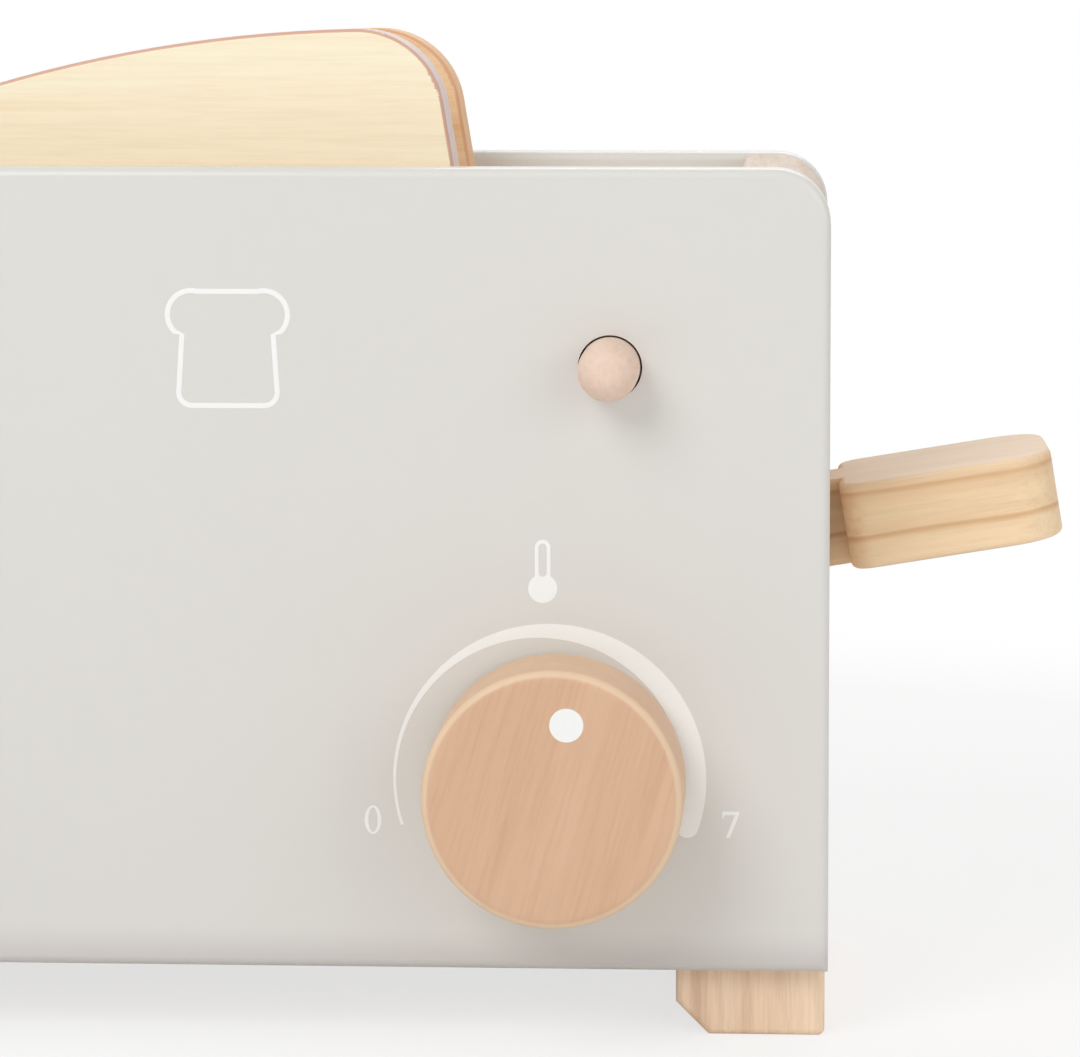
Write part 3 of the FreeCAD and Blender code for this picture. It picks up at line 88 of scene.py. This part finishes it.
class Shader:
    """A small helper that adds nodes to one material."""

    def __init__(self, name):
        self.material = bpy.data.materials.new(name)
        self.material.use_nodes = True
        self.tree = self.material.node_tree
        self.base = self.tree.nodes["Principled BSDF"]

    def add(self, kind, **values):
        node = self.tree.nodes.new(kind)
        for key, setting in values.items():
            setattr(node, key, setting)
        return node

    def link(self, source, target):
        self.tree.links.new(source, target)

    def position(self, scale, turn=(0, 0, 0)):
        """Object coordinates, stretched by scale in each direction."""
        coordinates = self.add("ShaderNodeTexCoord")
        turned = self.add("ShaderNodeMapping")
        turned.inputs["Rotation"].default_value = turn
        self.link(coordinates.outputs["Object"], turned.inputs["Vector"])
        mapping = self.add("ShaderNodeMapping")
        mapping.inputs["Scale"].default_value = scale
        self.link(turned.outputs["Vector"], mapping.inputs["Vector"])
        return mapping.outputs["Vector"]

    def noise(self, vector, scale, detail, roughness, distortion=0.0):
        node = self.add("ShaderNodeTexNoise")
        node.inputs["Scale"].default_value = scale
        node.inputs["Detail"].default_value = detail
        node.inputs["Roughness"].default_value = roughness
        node.inputs["Distortion"].default_value = distortion
        self.link(vector, node.inputs["Vector"])
        return node.outputs["Fac"]

    def ramp(self, factor, stops):
        node = self.add("ShaderNodeValToRGB")
        node.color_ramp.interpolation = "EASE"
        elements = node.color_ramp.elements
        while len(elements) < len(stops):
            elements.new(0.5)
        for element, (place, colour) in zip(elements, stops):
            element.position = place
            element.color = (*colour, 1)
        self.link(factor, node.inputs["Fac"])
        return node.outputs["Color"]

    def level(self, factor, stops):
        """A share from 0 to 1 that follows a ramp of grey stops."""
        grey = self.add("ShaderNodeRGBToBW")
        colour = self.ramp(factor, [(place, (tone, tone, tone)) for place, tone in stops])
        self.link(colour, grey.inputs["Color"])
        return grey.outputs["Val"]

    def spread(self, value, start, end, smooth=False):
        """Where a value lies between start and end, from 0 to 1."""
        node = self.add("ShaderNodeMapRange")
        if smooth:
            node.interpolation_type = "SMOOTHSTEP"
        node.inputs["From Min"].default_value = start
        node.inputs["From Max"].default_value = end
        self.link(value, node.inputs["Value"])
        return node.outputs["Result"]

    def roughness(self, factor, dull, shiny):
        """Roughness that goes from dull to shiny with a factor."""
        node = self.add("ShaderNodeMapRange")
        node.inputs["To Min"].default_value = dull
        node.inputs["To Max"].default_value = shiny
        self.link(factor, node.inputs["Value"])
        self.link(node.outputs["Result"], self.base.inputs["Roughness"])

    def axis(self, vector, letter):
        """One coordinate of a vector."""
        split = self.add("ShaderNodeSeparateXYZ")
        self.link(vector, split.inputs["Vector"])
        return split.outputs[letter]

    def facing(self, letter, kind="Normal"):
        """How far a face looks along one of the frame's axes, either way, from 0 to 1."""
        geometry = self.add("ShaderNodeNewGeometry")
        return self.math("ABSOLUTE", self.axis(geometry.outputs[kind], letter))

    def mix(self, factor, first, second):
        node = self.add("ShaderNodeMix", data_type="RGBA")
        for value, socket in ((factor, node.inputs[0]), (first, node.inputs[6]),
                              (second, node.inputs[7])):
            if isinstance(value, bpy.types.NodeSocket):
                self.link(value, socket)
            elif isinstance(value, tuple):
                socket.default_value = (*value, 1)
            else:
                socket.default_value = value
        return node.outputs[2]

    def math(self, operation, first, second=None):
        node = self.add("ShaderNodeMath", operation=operation)
        for value, socket in ((first, node.inputs[0]), (second, node.inputs[1])):
            if isinstance(value, bpy.types.NodeSocket):
                self.link(value, socket)
            elif value is not None:
                socket.default_value = value
        return node.outputs[0]

    def bump(self, height, strength, distance):
        node = self.add("ShaderNodeBump")
        node.inputs["Strength"].default_value = strength
        node.inputs["Distance"].default_value = distance
        self.link(height, node.inputs["Height"])
        self.link(node.outputs["Normal"], self.base.inputs["Normal"])


def darker(colour, share):
    return tuple(c * share for c in colour)


def srgb(red, green, blue):
    """A colour as it is seen on a screen, 0 to 255, for a shader."""
    out = []
    for channel in (red, green, blue):
        c = channel / 255
        out.append(c / 12.92 if c <= 0.04045 else ((c + 0.055) / 1.055) ** 2.4)
    return tuple(out)


GRAIN = {
    "x": (9, 170, 170),
    "y": (170, 9, 170),
    "z": (170, 170, 9),
}


def wood(name, pale, mid, dark, along, rough, contrast=1.0, turn=(0, 0, 0), rings=None, edge=None):
    """Bare wood: soft bands and fine fibres along one direction.

    Rings are growth rings on the sides of a board, as levels across its thickness, their stops,
    their colour and the colour of the board's flat faces. Edge is a painted highlight colour for
    rounded edges.
    """
    s = Shader(name)
    stretched = s.position(GRAIN[along], turn)
    bands = s.noise(stretched, 0.9, 3, 0.5, 0.6)
    fibres = s.noise(stretched, 6.5, 5, 0.65, 0.15)
    cloud = s.noise(s.position((16, 16, 16)), 1.0, 2, 0.5)
    colour = s.ramp(bands, [(0.3, dark), (0.48, mid), (0.66, pale)])
    fine = s.ramp(fibres, [(0.32, darker(mid, 1 - 0.2 * contrast)), (0.6, pale)])
    colour = s.mix(0.45, colour, fine)
    lifted = s.ramp(cloud, [(0.3, mid), (0.7, pale)])
    colour = s.mix(0.25, colour, lifted)
    if rings:
        low, high, lines, line, top = rings
        level = s.axis(s.position((1, 1, 1), turn), "Z")
        wander = s.noise(s.position((14, 60, 60), turn), 1.0, 3, 0.5)
        height = s.math("ADD", level, s.math("MULTIPLY", wander, 0.0022))
        band = s.level(s.spread(height, low, high), lines)
        flat = s.math("GREATER_THAN", s.facing("Z"), 0.75)
        share = s.math("MULTIPLY", band, s.math("SUBTRACT", 1.0, flat))
        colour = s.mix(s.math("MULTIPLY", share, 0.62), colour, line)
        colour = s.mix(s.math("MULTIPLY", flat, 0.4), colour, top)
    if edge:
        # Painted highlight: the edge colour is laid on rounded edges, and at 0.45 strength on
        # sides that face across Y
        edge_highlight_share = s.level(s.facing("Y"), [(0.25, 0.45), (0.6, 1), (0.8, 1), (0.97, 0)])
        colour = s.mix(s.math("MULTIPLY", edge_highlight_share, 0.7), colour, edge)
    s.link(colour, s.base.inputs["Base Color"])
    s.roughness(fibres, rough + 0.1, rough - 0.06)
    s.base.inputs["Specular IOR Level"].default_value = 0.35
    s.bump(fibres, 0.25, 0.00025)
    return s.material


# The painted shade along the rounded lower edge of the painted boards, in metres above the floor
PAINTED_SHADE_START, PAINTED_SHADE_END = 0.0125, 0.0195


def paint(name, colour, low):
    """Satin paint on board: almost even, with faint roller texture and painted shade along the
    lower edge.
    """
    s = Shader(name)
    cloud = s.noise(s.position((9, 9, 9)), 1.0, 3, 0.5)
    tone = s.ramp(cloud, [(0.3, darker(colour, 0.985)), (0.7, colour)])
    coordinates = s.add("ShaderNodeTexCoord")
    height = s.axis(coordinates.outputs["Object"], "Z")
    # Painted shade: the low colour darkens the boards toward their lower edge
    tone = s.mix(s.spread(height, PAINTED_SHADE_START, PAINTED_SHADE_END, smooth=True), low, tone)
    s.link(tone, s.base.inputs["Base Color"])
    s.base.inputs["Roughness"].default_value = 0.34
    s.base.inputs["Specular IOR Level"].default_value = 0.4
    s.base.inputs["Coat Weight"].default_value = 0.25
    s.base.inputs["Coat Roughness"].default_value = 0.18
    orange_peel = s.noise(s.position((1, 1, 1)), 900, 2, 0.5)
    s.bump(orange_peel, 0.12, 0.00006)
    return s.material


def bread(name, face_pale, face_mid, face_dark, edge, rim):
    """A slice with straight grain on its faces, a stained edge, whose pale colour on the front
    slice is a painted reflection, and a thin dark rim line.
    """
    s = Shader(name)
    stretched = s.position((10, 260, 260))
    bands = s.noise(stretched, 0.8, 3, 0.5, 0.4)
    fibres = s.noise(stretched, 4.5, 5, 0.7, 0.1)
    face = s.ramp(bands, [(0.3, face_dark), (0.5, face_mid), (0.68, face_pale)])
    fine = s.ramp(fibres, [(0.3, darker(face_mid, 0.9)), (0.6, face_pale)])
    face = s.mix(0.45, face, fine)
    flat = s.facing("Y", "True Normal")
    stain = s.noise(stretched, 1.3, 4, 0.6, 0.3)
    border = s.ramp(stain, [(0.3, darker(edge, 0.86)), (0.7, edge)])
    whole = s.mix(s.math("GREATER_THAN", flat, 0.55), border, face)
    ring = s.math("MULTIPLY", s.math("GREATER_THAN", flat, 0.45), s.math("LESS_THAN", flat, 0.97))
    whole = s.mix(s.math("MULTIPLY", ring, 0.7), whole, rim)
    s.link(whole, s.base.inputs["Base Color"])
    s.base.inputs["Roughness"].default_value = 0.5
    s.base.inputs["Specular IOR Level"].default_value = 0.35
    s.bump(fibres, 0.22, 0.0002)
    return s.material


def metal(name, colour, rough, stretch=(300, 300, 300)):
    """Metal with fine scratches."""
    s = Shader(name)
    scratches = s.noise(s.position(stretch), 4, 3, 0.6)
    tone = s.ramp(scratches, [(0.3, darker(colour, 0.85)), (0.7, colour)])
    s.link(tone, s.base.inputs["Base Color"])
    s.roughness(scratches, rough + 0.12, rough - 0.05)
    s.base.inputs["Metallic"].default_value = 1.0
    s.bump(scratches, 0.1, 0.00005)
    return s.material


def plain(name, colour, rough, grain=700, spread=0.06):
    """Plastic, ink or shade: one colour with a fine speckle."""
    s = Shader(name)
    speckle = s.noise(s.position((1, 1, 1)), grain, 2, 0.5)
    tone = s.ramp(speckle, [(0.3, darker(colour, 1 - spread)), (0.7, colour)])
    s.link(tone, s.base.inputs["Base Color"])
    s.base.inputs["Roughness"].default_value = rough
    s.bump(speckle, 0.08, 0.00005)
    return s.material


LEVER_TURN = (0, LEVER_TILT, 0)
KNOB_TURN = (0, math.radians(74), 0)
# Levels across the lever board's thickness, in metres along its own upward direction, and
# growth rings as (place between the levels, strength)
LEVER_LOW, LEVER_HIGH = 0.0623, 0.0773
LEVER_LINES = [(0.0, 0.0), (0.28, 0.05), (0.36, 0.95), (0.40, 0.1), (0.62, 0.0), (0.79, 0.4),
               (0.86, 0.95), (0.90, 0.35), (1.0, 0.1)]

# The second colour is painted shade for the boards' rounded lower edge
painted = paint("painted_board", srgb(223, 221, 216), srgb(206, 201, 197))
# End walls: a darker, pinker copy of the bare board wood, as painted shade on their tops between
# the boards
shaded_wall_wood = wood("end_wall_wood_shaded", srgb(230, 214, 200), srgb(221, 200, 182), srgb(208, 182, 161),
            "y", 0.6)
guide = wood("guide_wood", srgb(248, 240, 230), srgb(242, 231, 218), srgb(230, 215, 199),
             "x", 0.6)
foot = wood("foot_wood", srgb(252, 225, 196), srgb(244, 212, 181), srgb(214, 174, 140),
            "z", 0.6, 1.4)
arm = wood("lever_wood", srgb(252, 226, 188), srgb(247, 217, 177), srgb(235, 199, 155),
           "x", 0.5, 0.9, LEVER_TURN,
           rings=(LEVER_LOW, LEVER_HIGH, LEVER_LINES, srgb(206, 150, 96), srgb(216, 199, 190)))
dowel = wood("dowel_wood", srgb(232, 210, 180), srgb(222, 194, 160), srgb(200, 168, 132),
             "y", 0.6)
# The knob's edge colour is a painted highlight on its rounded rim and its side
knob_wood = wood("knob_wood", srgb(223, 184, 153), srgb(214, 172, 141), srgb(203, 160, 130),
                 "x", 0.55, 0.35, KNOB_TURN, edge=srgb(242, 216, 184))
button_wood = wood("button_wood", srgb(239, 214, 196), srgb(232, 203, 184), srgb(217, 186, 167),
                   "y", 0.5, 0.5)
# Front slice: its pale lilac edge colour is a painted reflection of bright surroundings at a
# grazing angle
front_bread = bread("front_bread", srgb(255, 244, 216), srgb(254, 238, 207), srgb(250, 228, 190),
                    srgb(236, 219, 214), srgb(204, 132, 114))
# Rear slice: the same wood as the front one, drawn darker and oranger as painted shade from the
# front slice
rear_bread = bread("rear_bread", srgb(246, 214, 176), srgb(240, 202, 160), srgb(230, 184, 138),
                   srgb(240, 192, 140), srgb(220, 156, 120))
nylon = plain("latch_nylon", srgb(232, 229, 220), 0.45)
steel = metal("pin_steel", srgb(205, 205, 208), 0.25)
zinc = metal("screw_zinc", srgb(196, 196, 190), 0.35)
sheet_metal = metal("sheet_steel", srgb(188, 190, 194), 0.4, (60, 400, 400))
spring_wire = metal("spring_steel", srgb(176, 177, 182), 0.3)
ink = plain("scale_print", srgb(247, 248, 246), 0.4, 1200, 0.012)
# Painted shade: a dark sheet for the hollows of the screws' cross recesses
dark = plain("recess_painted_shade", srgb(60, 50, 44), 0.8)

SLOTS = {
    "painted_board": painted,
    "bare_board": guide,
    "foot_wood": foot,
    "lever_wood": arm,
    "dowel_wood": dowel,
    "front_bread": front_bread,
    "rear_bread": rear_bread,
    "knob_wood": knob_wood,
    "button_wood": button_wood,
    "latch_nylon": nylon,
    "pin_steel": steel,
    "screw_zinc": zinc,
    "sheet_steel": sheet_metal,
    "spring_steel": spring_wire,
}
# The end walls take this painted-shade copy in place of their bare board wood
OWN = {"left_side_wall": shaded_wall_wood, "right_side_wall": shaded_wall_wood}
slot_of = {part["node"]: part["material_slot"] for part in frame["record"]["subparts"]}
for name, thing in nodes.items():
    material = OWN.get(name) or SLOTS[slot_of[name]]
    if not thing.material_slots:
        thing.data.materials.append(material)
    for place in thing.material_slots:
        place.material = material


# Pieces

INK_HEIGHT = 0.06                       # print on a board, in millimetres
PRINT_Y = FRONT + 0.01                  # its back, just inside the paint
WIRE_BEVEL = 2                          # bevel resolution of round wires
STEPS_PER_TURN = 20                     # of a coil


def add_thing(name, data):
    """An object that holds a mesh, curve, lamp or camera, in the scene."""
    thing = bpy.data.objects.new(name, data)
    bpy.context.scene.collection.objects.link(thing)
    return thing


def add_piece(name, bm, material, body):
    """One piece from a finished bmesh, riding on a body."""
    mesh = bpy.data.meshes.new(name)
    bm.to_mesh(mesh)
    bm.free()
    thing = add_thing(name, mesh)
    mesh.materials.append(material)
    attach(thing, body)


def raise_faces(bm, faces, shift):
    """Faces pulled out into a closed solid."""
    raised = bmesh.ops.extrude_face_region(bm, geom=faces)
    moved = [g for g in raised["geom"] if isinstance(g, bmesh.types.BMVert)]
    bmesh.ops.translate(bm, verts=moved, vec=shift)
    bmesh.ops.recalc_face_normals(bm, faces=bm.faces)


def flat_piece(name, outline, y=PRINT_Y, body="case", holes=()):
    """A thin raised print on an upright plane, from closed outlines in the casing's X and Z."""
    bm = bmesh.new()
    edges = []
    for loop in (outline, *holes):
        points = [bm.verts.new(at(x, y, z)) for x, z in loop]
        count = len(points)
        edges += [bm.edges.new((points[i], points[(i + 1) % count])) for i in range(count)]
    filled = bmesh.ops.triangle_fill(bm, use_beauty=True, edges=edges)
    faces = [g for g in filled["geom"] if isinstance(g, bmesh.types.BMFace)]
    raise_faces(bm, faces, (0, -INK_HEIGHT / 1000, 0))
    add_piece(name, bm, ink, body)


def circle(x, z, radius, count):
    """Points round a full circle, the first one not repeated."""
    return arc(x, z, radius, count, 0, 2 * math.pi)[:-1]


def arc(x, z, radius, count, start, sweep):
    """Points along an arc, with both its ends."""
    turns = [start + sweep * i / count for i in range(count + 1)]
    return [(x + radius * math.cos(turn), z + radius * math.sin(turn)) for turn in turns]


def ribbon(points, width):
    """The two outlines of a closed stroke of even width along points in X and Z."""
    count = len(points)
    outer = []
    inner = []
    for i, (x, z) in enumerate(points):
        before = points[(i - 1) % count]
        after = points[(i + 1) % count]
        direction = Vector((after[0] - before[0], after[1] - before[1])).normalized()
        side = Vector((-direction.y, direction.x)) * width / 2
        outer.append((x + side.x, z + side.y))
        inner.append((x - side.x, z - side.y))
    return outer, inner


def pixel_path(points):
    return [from_photo(u, v) for u, v in points]


def pixel_arc(u, v, radius, count, start, sweep):
    """An arc in the photograph's pixels, where V counts downward."""
    turns = [start + sweep * i / count for i in range(count + 1)]
    return [(u + radius * math.cos(turn), v - radius * math.sin(turn)) for turn in turns]


def make_scale():
    """The crescent-shaped scale round the knob, thin at 0 and wide at 7."""
    steps = 96
    outline = pixel_arc(549.5, 779, 156.5, steps, math.radians(197.8), math.radians(-18.6 - 197.8))
    wide_end = outline[-1]
    inner_end = (676.3, 822.5)
    middle = ((wide_end[0] + inner_end[0]) / 2, (wide_end[1] + inner_end[1]) / 2)
    half = math.dist(wide_end, inner_end) / 2
    lean = math.atan2(wide_end[1] - inner_end[1], wide_end[0] - inner_end[0])
    outline += arc(*middle, half, 12, lean, math.pi)[1:-1]
    outline += pixel_arc(539.5, 780, 143.5, steps, math.radians(-17.2), math.radians(198.6 + 17.2))
    flat_piece("dial_scale", pixel_path(outline))


def oval(u, v, half_width, half_height, count=40):
    turns = [2 * math.pi * i / count for i in range(count)]
    return [(u + half_width * math.cos(turn), v - half_height * math.sin(turn)) for turn in turns]


def make_digits():
    """The numbers at both ends of the scale."""
    outer = oval(372.5, 821.5, 8.5, 14.5)
    inner = oval(372.5, 821.5, 4.6, 12.4)
    flat_piece("digit_0", pixel_path(outer), holes=[pixel_path(inner)])
    seven = [(722, 810), (739, 810), (739, 812.5), (729.6, 836.5), (725.6, 836.5), (734.4, 813.6),
             (724.6, 813.6), (723.4, 817), (722, 817)]
    flat_piece("digit_7", pixel_path(seven))


def make_thermometer():
    """The thermometer sign over the scale: a bulb and a stem with an open tube."""
    x, z = from_photo(543, 587)
    top = from_photo(542.5, 546)[1]
    low = from_photo(542, 571)[1]
    radius = 14.5 / BOARD_PIXELS
    stem = 7.8 / BOARD_PIXELS
    tube = stem - 0.62
    join = math.asin(stem / radius)
    outline = arc(x, z, radius, 48, math.pi / 2 + join, 2 * (math.pi - join))
    outline += arc(x, top, stem, 20, 0, math.pi)
    hole = arc(x, top, tube, 14, 0, math.pi) + arc(x, low, tube, 14, math.pi, math.pi)
    flat_piece("thermometer_sign", outline, holes=[hole])


def make_toast_sign():
    """A generic slice of toast, drawn as one even line, where a sign is printed on the board."""
    x, z = from_photo(230, 348)
    half, foot_z, top_z, corner = 8.2, -9.6, 4.6, 2.2
    waist = (half - 0.6, 2.2)
    lobe_x, lobe_z, lobe = half - 2.2, top_z + 0.9, 4.0
    quarter = math.pi / 2
    points = arc(half - corner, foot_z + corner, corner, 8, -quarter, quarter)
    points += [waist]
    points += arc(lobe_x, lobe_z, lobe, 14, math.radians(-45), math.radians(150))
    points += arc(-lobe_x, lobe_z, lobe, 14, math.radians(75), math.radians(150))
    points += [(-waist[0], waist[1])]
    points += arc(-half + corner, foot_z + corner, corner, 8, math.pi, quarter)
    outer, inner = ribbon([(x + a, z + b) for a, b in points], 0.85)
    flat_piece("toast_sign", outer, holes=[inner])


def make_dot():
    """The painted white dot on the knob's face."""
    face = -60.8
    x, z = from_photo(566, 723.5, face)
    flat_piece("knob_dot", circle(x, z, 17 / KNOB_PIXELS, 48), face + 0.02, "dial")


def tube(name, path, radius):
    """A round spring wire along a path of points in metres, as a mesh."""
    curve = bpy.data.curves.new(name, "CURVE")
    curve.dimensions = "3D"
    curve.bevel_depth = radius
    curve.bevel_resolution = WIRE_BEVEL
    curve.use_fill_caps = True
    line = curve.splines.new("POLY")
    line.points.add(len(path) - 1)
    for point, place in zip(line.points, path):
        point.co = (*place, 1)
    holder = add_thing(name + "_path", curve)
    graph = bpy.context.evaluated_depsgraph_get()
    mesh = bpy.data.meshes.new_from_object(holder.evaluated_get(graph))
    bpy.data.objects.remove(holder)
    mesh.name = name
    for polygon in mesh.polygons:
        polygon.use_smooth = True
    thing = add_thing(name, mesh)
    mesh.materials.clear()
    mesh.materials.append(spring_wire)
    return thing


def make_return_coil():
    """The close-wound return spring with a hooked loop at each end."""
    low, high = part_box("return_spring")
    x = (low[0] + high[0]) / 2
    y = (low[1] + high[1]) / 2
    middle = (low[2] + high[2]) / 2
    wire = 0.00042
    loop = 0.0022
    coil = 0.0026
    half = 0.006
    neck = half + 0.0008
    turns = 14
    hook = arc(0, 0, loop, 24, math.radians(-60), math.radians(300))
    path = [(x, y + b, low[2] + wire + loop - a) for a, b in hook[::-1]]
    path.append((x, y, middle - neck))
    for i in range(turns * STEPS_PER_TURN + 1):
        turn = 2 * math.pi * i / STEPS_PER_TURN
        path.append((x + coil * math.sin(turn), y + coil * math.cos(turn),
                     middle - half + 2 * half * i / (turns * STEPS_PER_TURN)))
    path.append((x, y, middle + neck))
    path += [(x, y + b, high[2] - wire - loop + a) for a, b in hook]
    thing = tube("return_coil", path, wire)
    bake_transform(thing)
    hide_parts("return_spring")


def make_latch_coil():
    """The torsion spring on the latch pin, one leg on the bracket and one behind the latch."""
    pin_low, pin_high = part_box("latch_pin")
    y = (pin_low[1] + pin_high[1]) / 2
    z = (pin_low[2] + pin_high[2]) / 2
    left = at(68.3, 0, 0).x
    width = 0.0032
    coil = 0.0024
    wire = 0.00038
    leg_end = at(63.7, 0, 0).x
    bracket_y = at(0, -29.85, 0).y
    latch_y = at(0, -31.55, 0).y
    steps = 4 * STEPS_PER_TURN + STEPS_PER_TURN // 2
    path = [(leg_end, bracket_y, z - 0.005), (left - 0.0002, bracket_y, z - 0.005),
            (left, bracket_y, z - 0.0044), (left, bracket_y, z - 0.001)]
    for i in range(steps + 1):
        turn = 2 * math.pi * i / STEPS_PER_TURN
        path.append((left + width * i / steps, y - coil * math.cos(turn),
                     z + coil * math.sin(turn)))
    path.append((left + width, latch_y, z + 0.0026))
    thing = tube("latch_coil", path, wire)
    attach(thing, "case")
    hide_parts("latch_spring")


def make_recess(name, centre, normal, size, body):
    """A cross recess in a screw head, drawn as a cross of painted shade that lies just proud of
    the head.
    """
    toward = Vector(normal).normalized()
    side = toward.orthogonal().normalized()
    up = toward.cross(side)
    thin = size * 0.26
    corners = [(size, thin), (thin, thin), (thin, size), (-thin, size), (-thin, thin),
               (-size, thin), (-size, -thin), (-thin, -thin), (-thin, -size), (thin, -size),
               (thin, -thin), (size, -thin)]
    bm = bmesh.new()
    ring = [bm.verts.new(Vector(centre) + side * a + up * b) for a, b in corners]
    raise_faces(bm, [bm.faces.new(ring)], toward * 0.00003)
    add_piece(name, bm, dark, body)


def make_recesses():
    """Painted-shade crosses for the recesses in the heads of the foot, knob and tray screws."""
    for i, x in enumerate((-92.5, 92.5)):
        for j, y in enumerate((-22, 22)):
            make_recess(f"foot_recess_{i}{j}", at(x, y, 0.6), (0, 0, -1), 0.0018, "case")
    low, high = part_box("knob_screw")
    head = ((low[0] + high[0]) / 2, high[1], (low[2] + high[2]) / 2)
    make_recess("knob_recess", head, (0, 1, 0), 0.0013, "dial")
    along = Vector((math.cos(LEVER_TILT), 0, math.sin(LEVER_TILT)))
    up = Vector((-math.sin(LEVER_TILT), 0, math.cos(LEVER_TILT)))
    pivot = at(PIVOT_X, 0, PIVOT_Z)
    for i, u in enumerate((41.52, 111.52)):
        centre = pivot + along * u / 1000 + up * 0.0132
        make_recess(f"tray_recess_{i}", centre, up, 0.0017, "lever_arm")


make_scale()
make_digits()
make_thermometer()
make_toast_sign()
make_dot()
make_return_coil()
make_latch_coil()
make_recesses()


# Floor, light and camera

# The floor is seen at least this white, and fully white beyond a distance, in metres
FLOOR_WHITE = 0.7
FADE_START, FADE_END = 0.13, 0.42
# Name, place in metres, size in metres and power in watts
LAMPS = (
    ("key", (-0.55, -0.9, 0.95), 0.8, 7.2),
    ("fill", (0.9, -0.8, 0.5), 0.9, 2.6),
    ("back", (0.2, 0.9, 1.0), 0.8, 3.6),
)
LAMP_AIM = Vector((0, 0, 0.08))


def make_floor():
    """A matt floor that fades to white, for the camera only, away from the toy."""
    bm = bmesh.new()
    bmesh.ops.create_grid(bm, x_segments=1, y_segments=1, size=3.0)
    mesh = bpy.data.meshes.new("floor")
    bm.to_mesh(mesh)
    bm.free()
    floor = add_thing("floor", mesh)
    s = Shader("floor_paper")
    s.base.inputs["Base Color"].default_value = (0.93, 0.93, 0.93, 1)
    s.base.inputs["Roughness"].default_value = 0.9
    s.base.inputs["Specular IOR Level"].default_value = 0.0
    coordinates = s.add("ShaderNodeTexCoord")
    length = s.add("ShaderNodeVectorMath", operation="LENGTH")
    s.link(coordinates.outputs["Object"], length.inputs[0])
    far = s.spread(length.outputs["Value"], FADE_START, FADE_END, smooth=True)
    path = s.add("ShaderNodeLightPath")
    lifted = s.math("MAXIMUM", far, FLOOR_WHITE)
    seen = s.math("MULTIPLY", lifted, path.outputs["Is Camera Ray"])
    white = s.add("ShaderNodeEmission")
    white.inputs["Color"].default_value = (1, 1, 1, 1)
    blend = s.add("ShaderNodeMixShader")
    s.link(seen, blend.inputs[0])
    s.link(s.base.outputs["BSDF"], blend.inputs[1])
    s.link(white.outputs["Emission"], blend.inputs[2])
    s.link(blend.outputs["Shader"], s.tree.nodes["Material Output"].inputs["Surface"])
    mesh.materials.append(s.material)


def make_world():
    """A white backdrop for rays that are seen, and soft light for the others."""
    world = bpy.data.worlds.new("studio")
    bpy.context.scene.world = world
    world.use_nodes = True
    tree = world.node_tree
    soft = tree.nodes["Background"]
    soft.inputs["Color"].default_value = (1.0, 0.995, 0.985, 1)
    soft.inputs["Strength"].default_value = 0.5
    bright = tree.nodes.new("ShaderNodeBackground")
    bright.inputs["Color"].default_value = (1, 1, 1, 1)
    bright.inputs["Strength"].default_value = 1.0
    path = tree.nodes.new("ShaderNodeLightPath")
    seen = path.outputs["Is Camera Ray"]
    for ray in ("Is Glossy Ray", "Is Transmission Ray"):
        larger = tree.nodes.new("ShaderNodeMath")
        larger.operation = "MAXIMUM"
        tree.links.new(seen, larger.inputs[0])
        tree.links.new(path.outputs[ray], larger.inputs[1])
        seen = larger.outputs[0]
    blend = tree.nodes.new("ShaderNodeMixShader")
    tree.links.new(seen, blend.inputs[0])
    tree.links.new(soft.outputs[0], blend.inputs[1])
    tree.links.new(bright.outputs[0], blend.inputs[2])
    tree.links.new(blend.outputs[0], tree.nodes["World Output"].inputs["Surface"])


def make_lamps():
    """Three wide lamps, each turned toward the toy."""
    for name, place, size, power in LAMPS:
        lamp = bpy.data.lights.new(name, "AREA")
        lamp.shape = "DISK"
        lamp.size = size
        lamp.energy = power
        thing = add_thing(name, lamp)
        thing.location = place
        aim = LAMP_AIM - Vector(place)
        thing.rotation_euler = aim.to_track_quat("-Z", "Y").to_euler()


def make_camera():
    """The photograph's view: its eye, direction and focal length, and a part of its crop."""
    lens = bpy.data.cameras.new("camera")
    camera = add_thing("camera", lens)
    camera.location = at(94.36, -658.5, 171.33)
    yaw = math.radians(-2.595)
    pitch = math.radians(-4.543)
    camera.rotation_euler = (math.pi / 2 + pitch, 0, -yaw)
    focal_pixels, photo_width = 3762.7, 1080
    lens.sensor_fit = "HORIZONTAL"
    lens.sensor_width = 36
    lens.lens = lens.sensor_width * focal_pixels / photo_width
    lens.shift_x = -0.08
    lens.shift_y = -0.2
    lens.clip_start = 0.01
    lens.clip_end = 50
    bpy.context.scene.camera = camera


make_floor()
make_world()
make_lamps()
make_camera()

bpy.context.scene.view_settings.view_transform = "Standard"
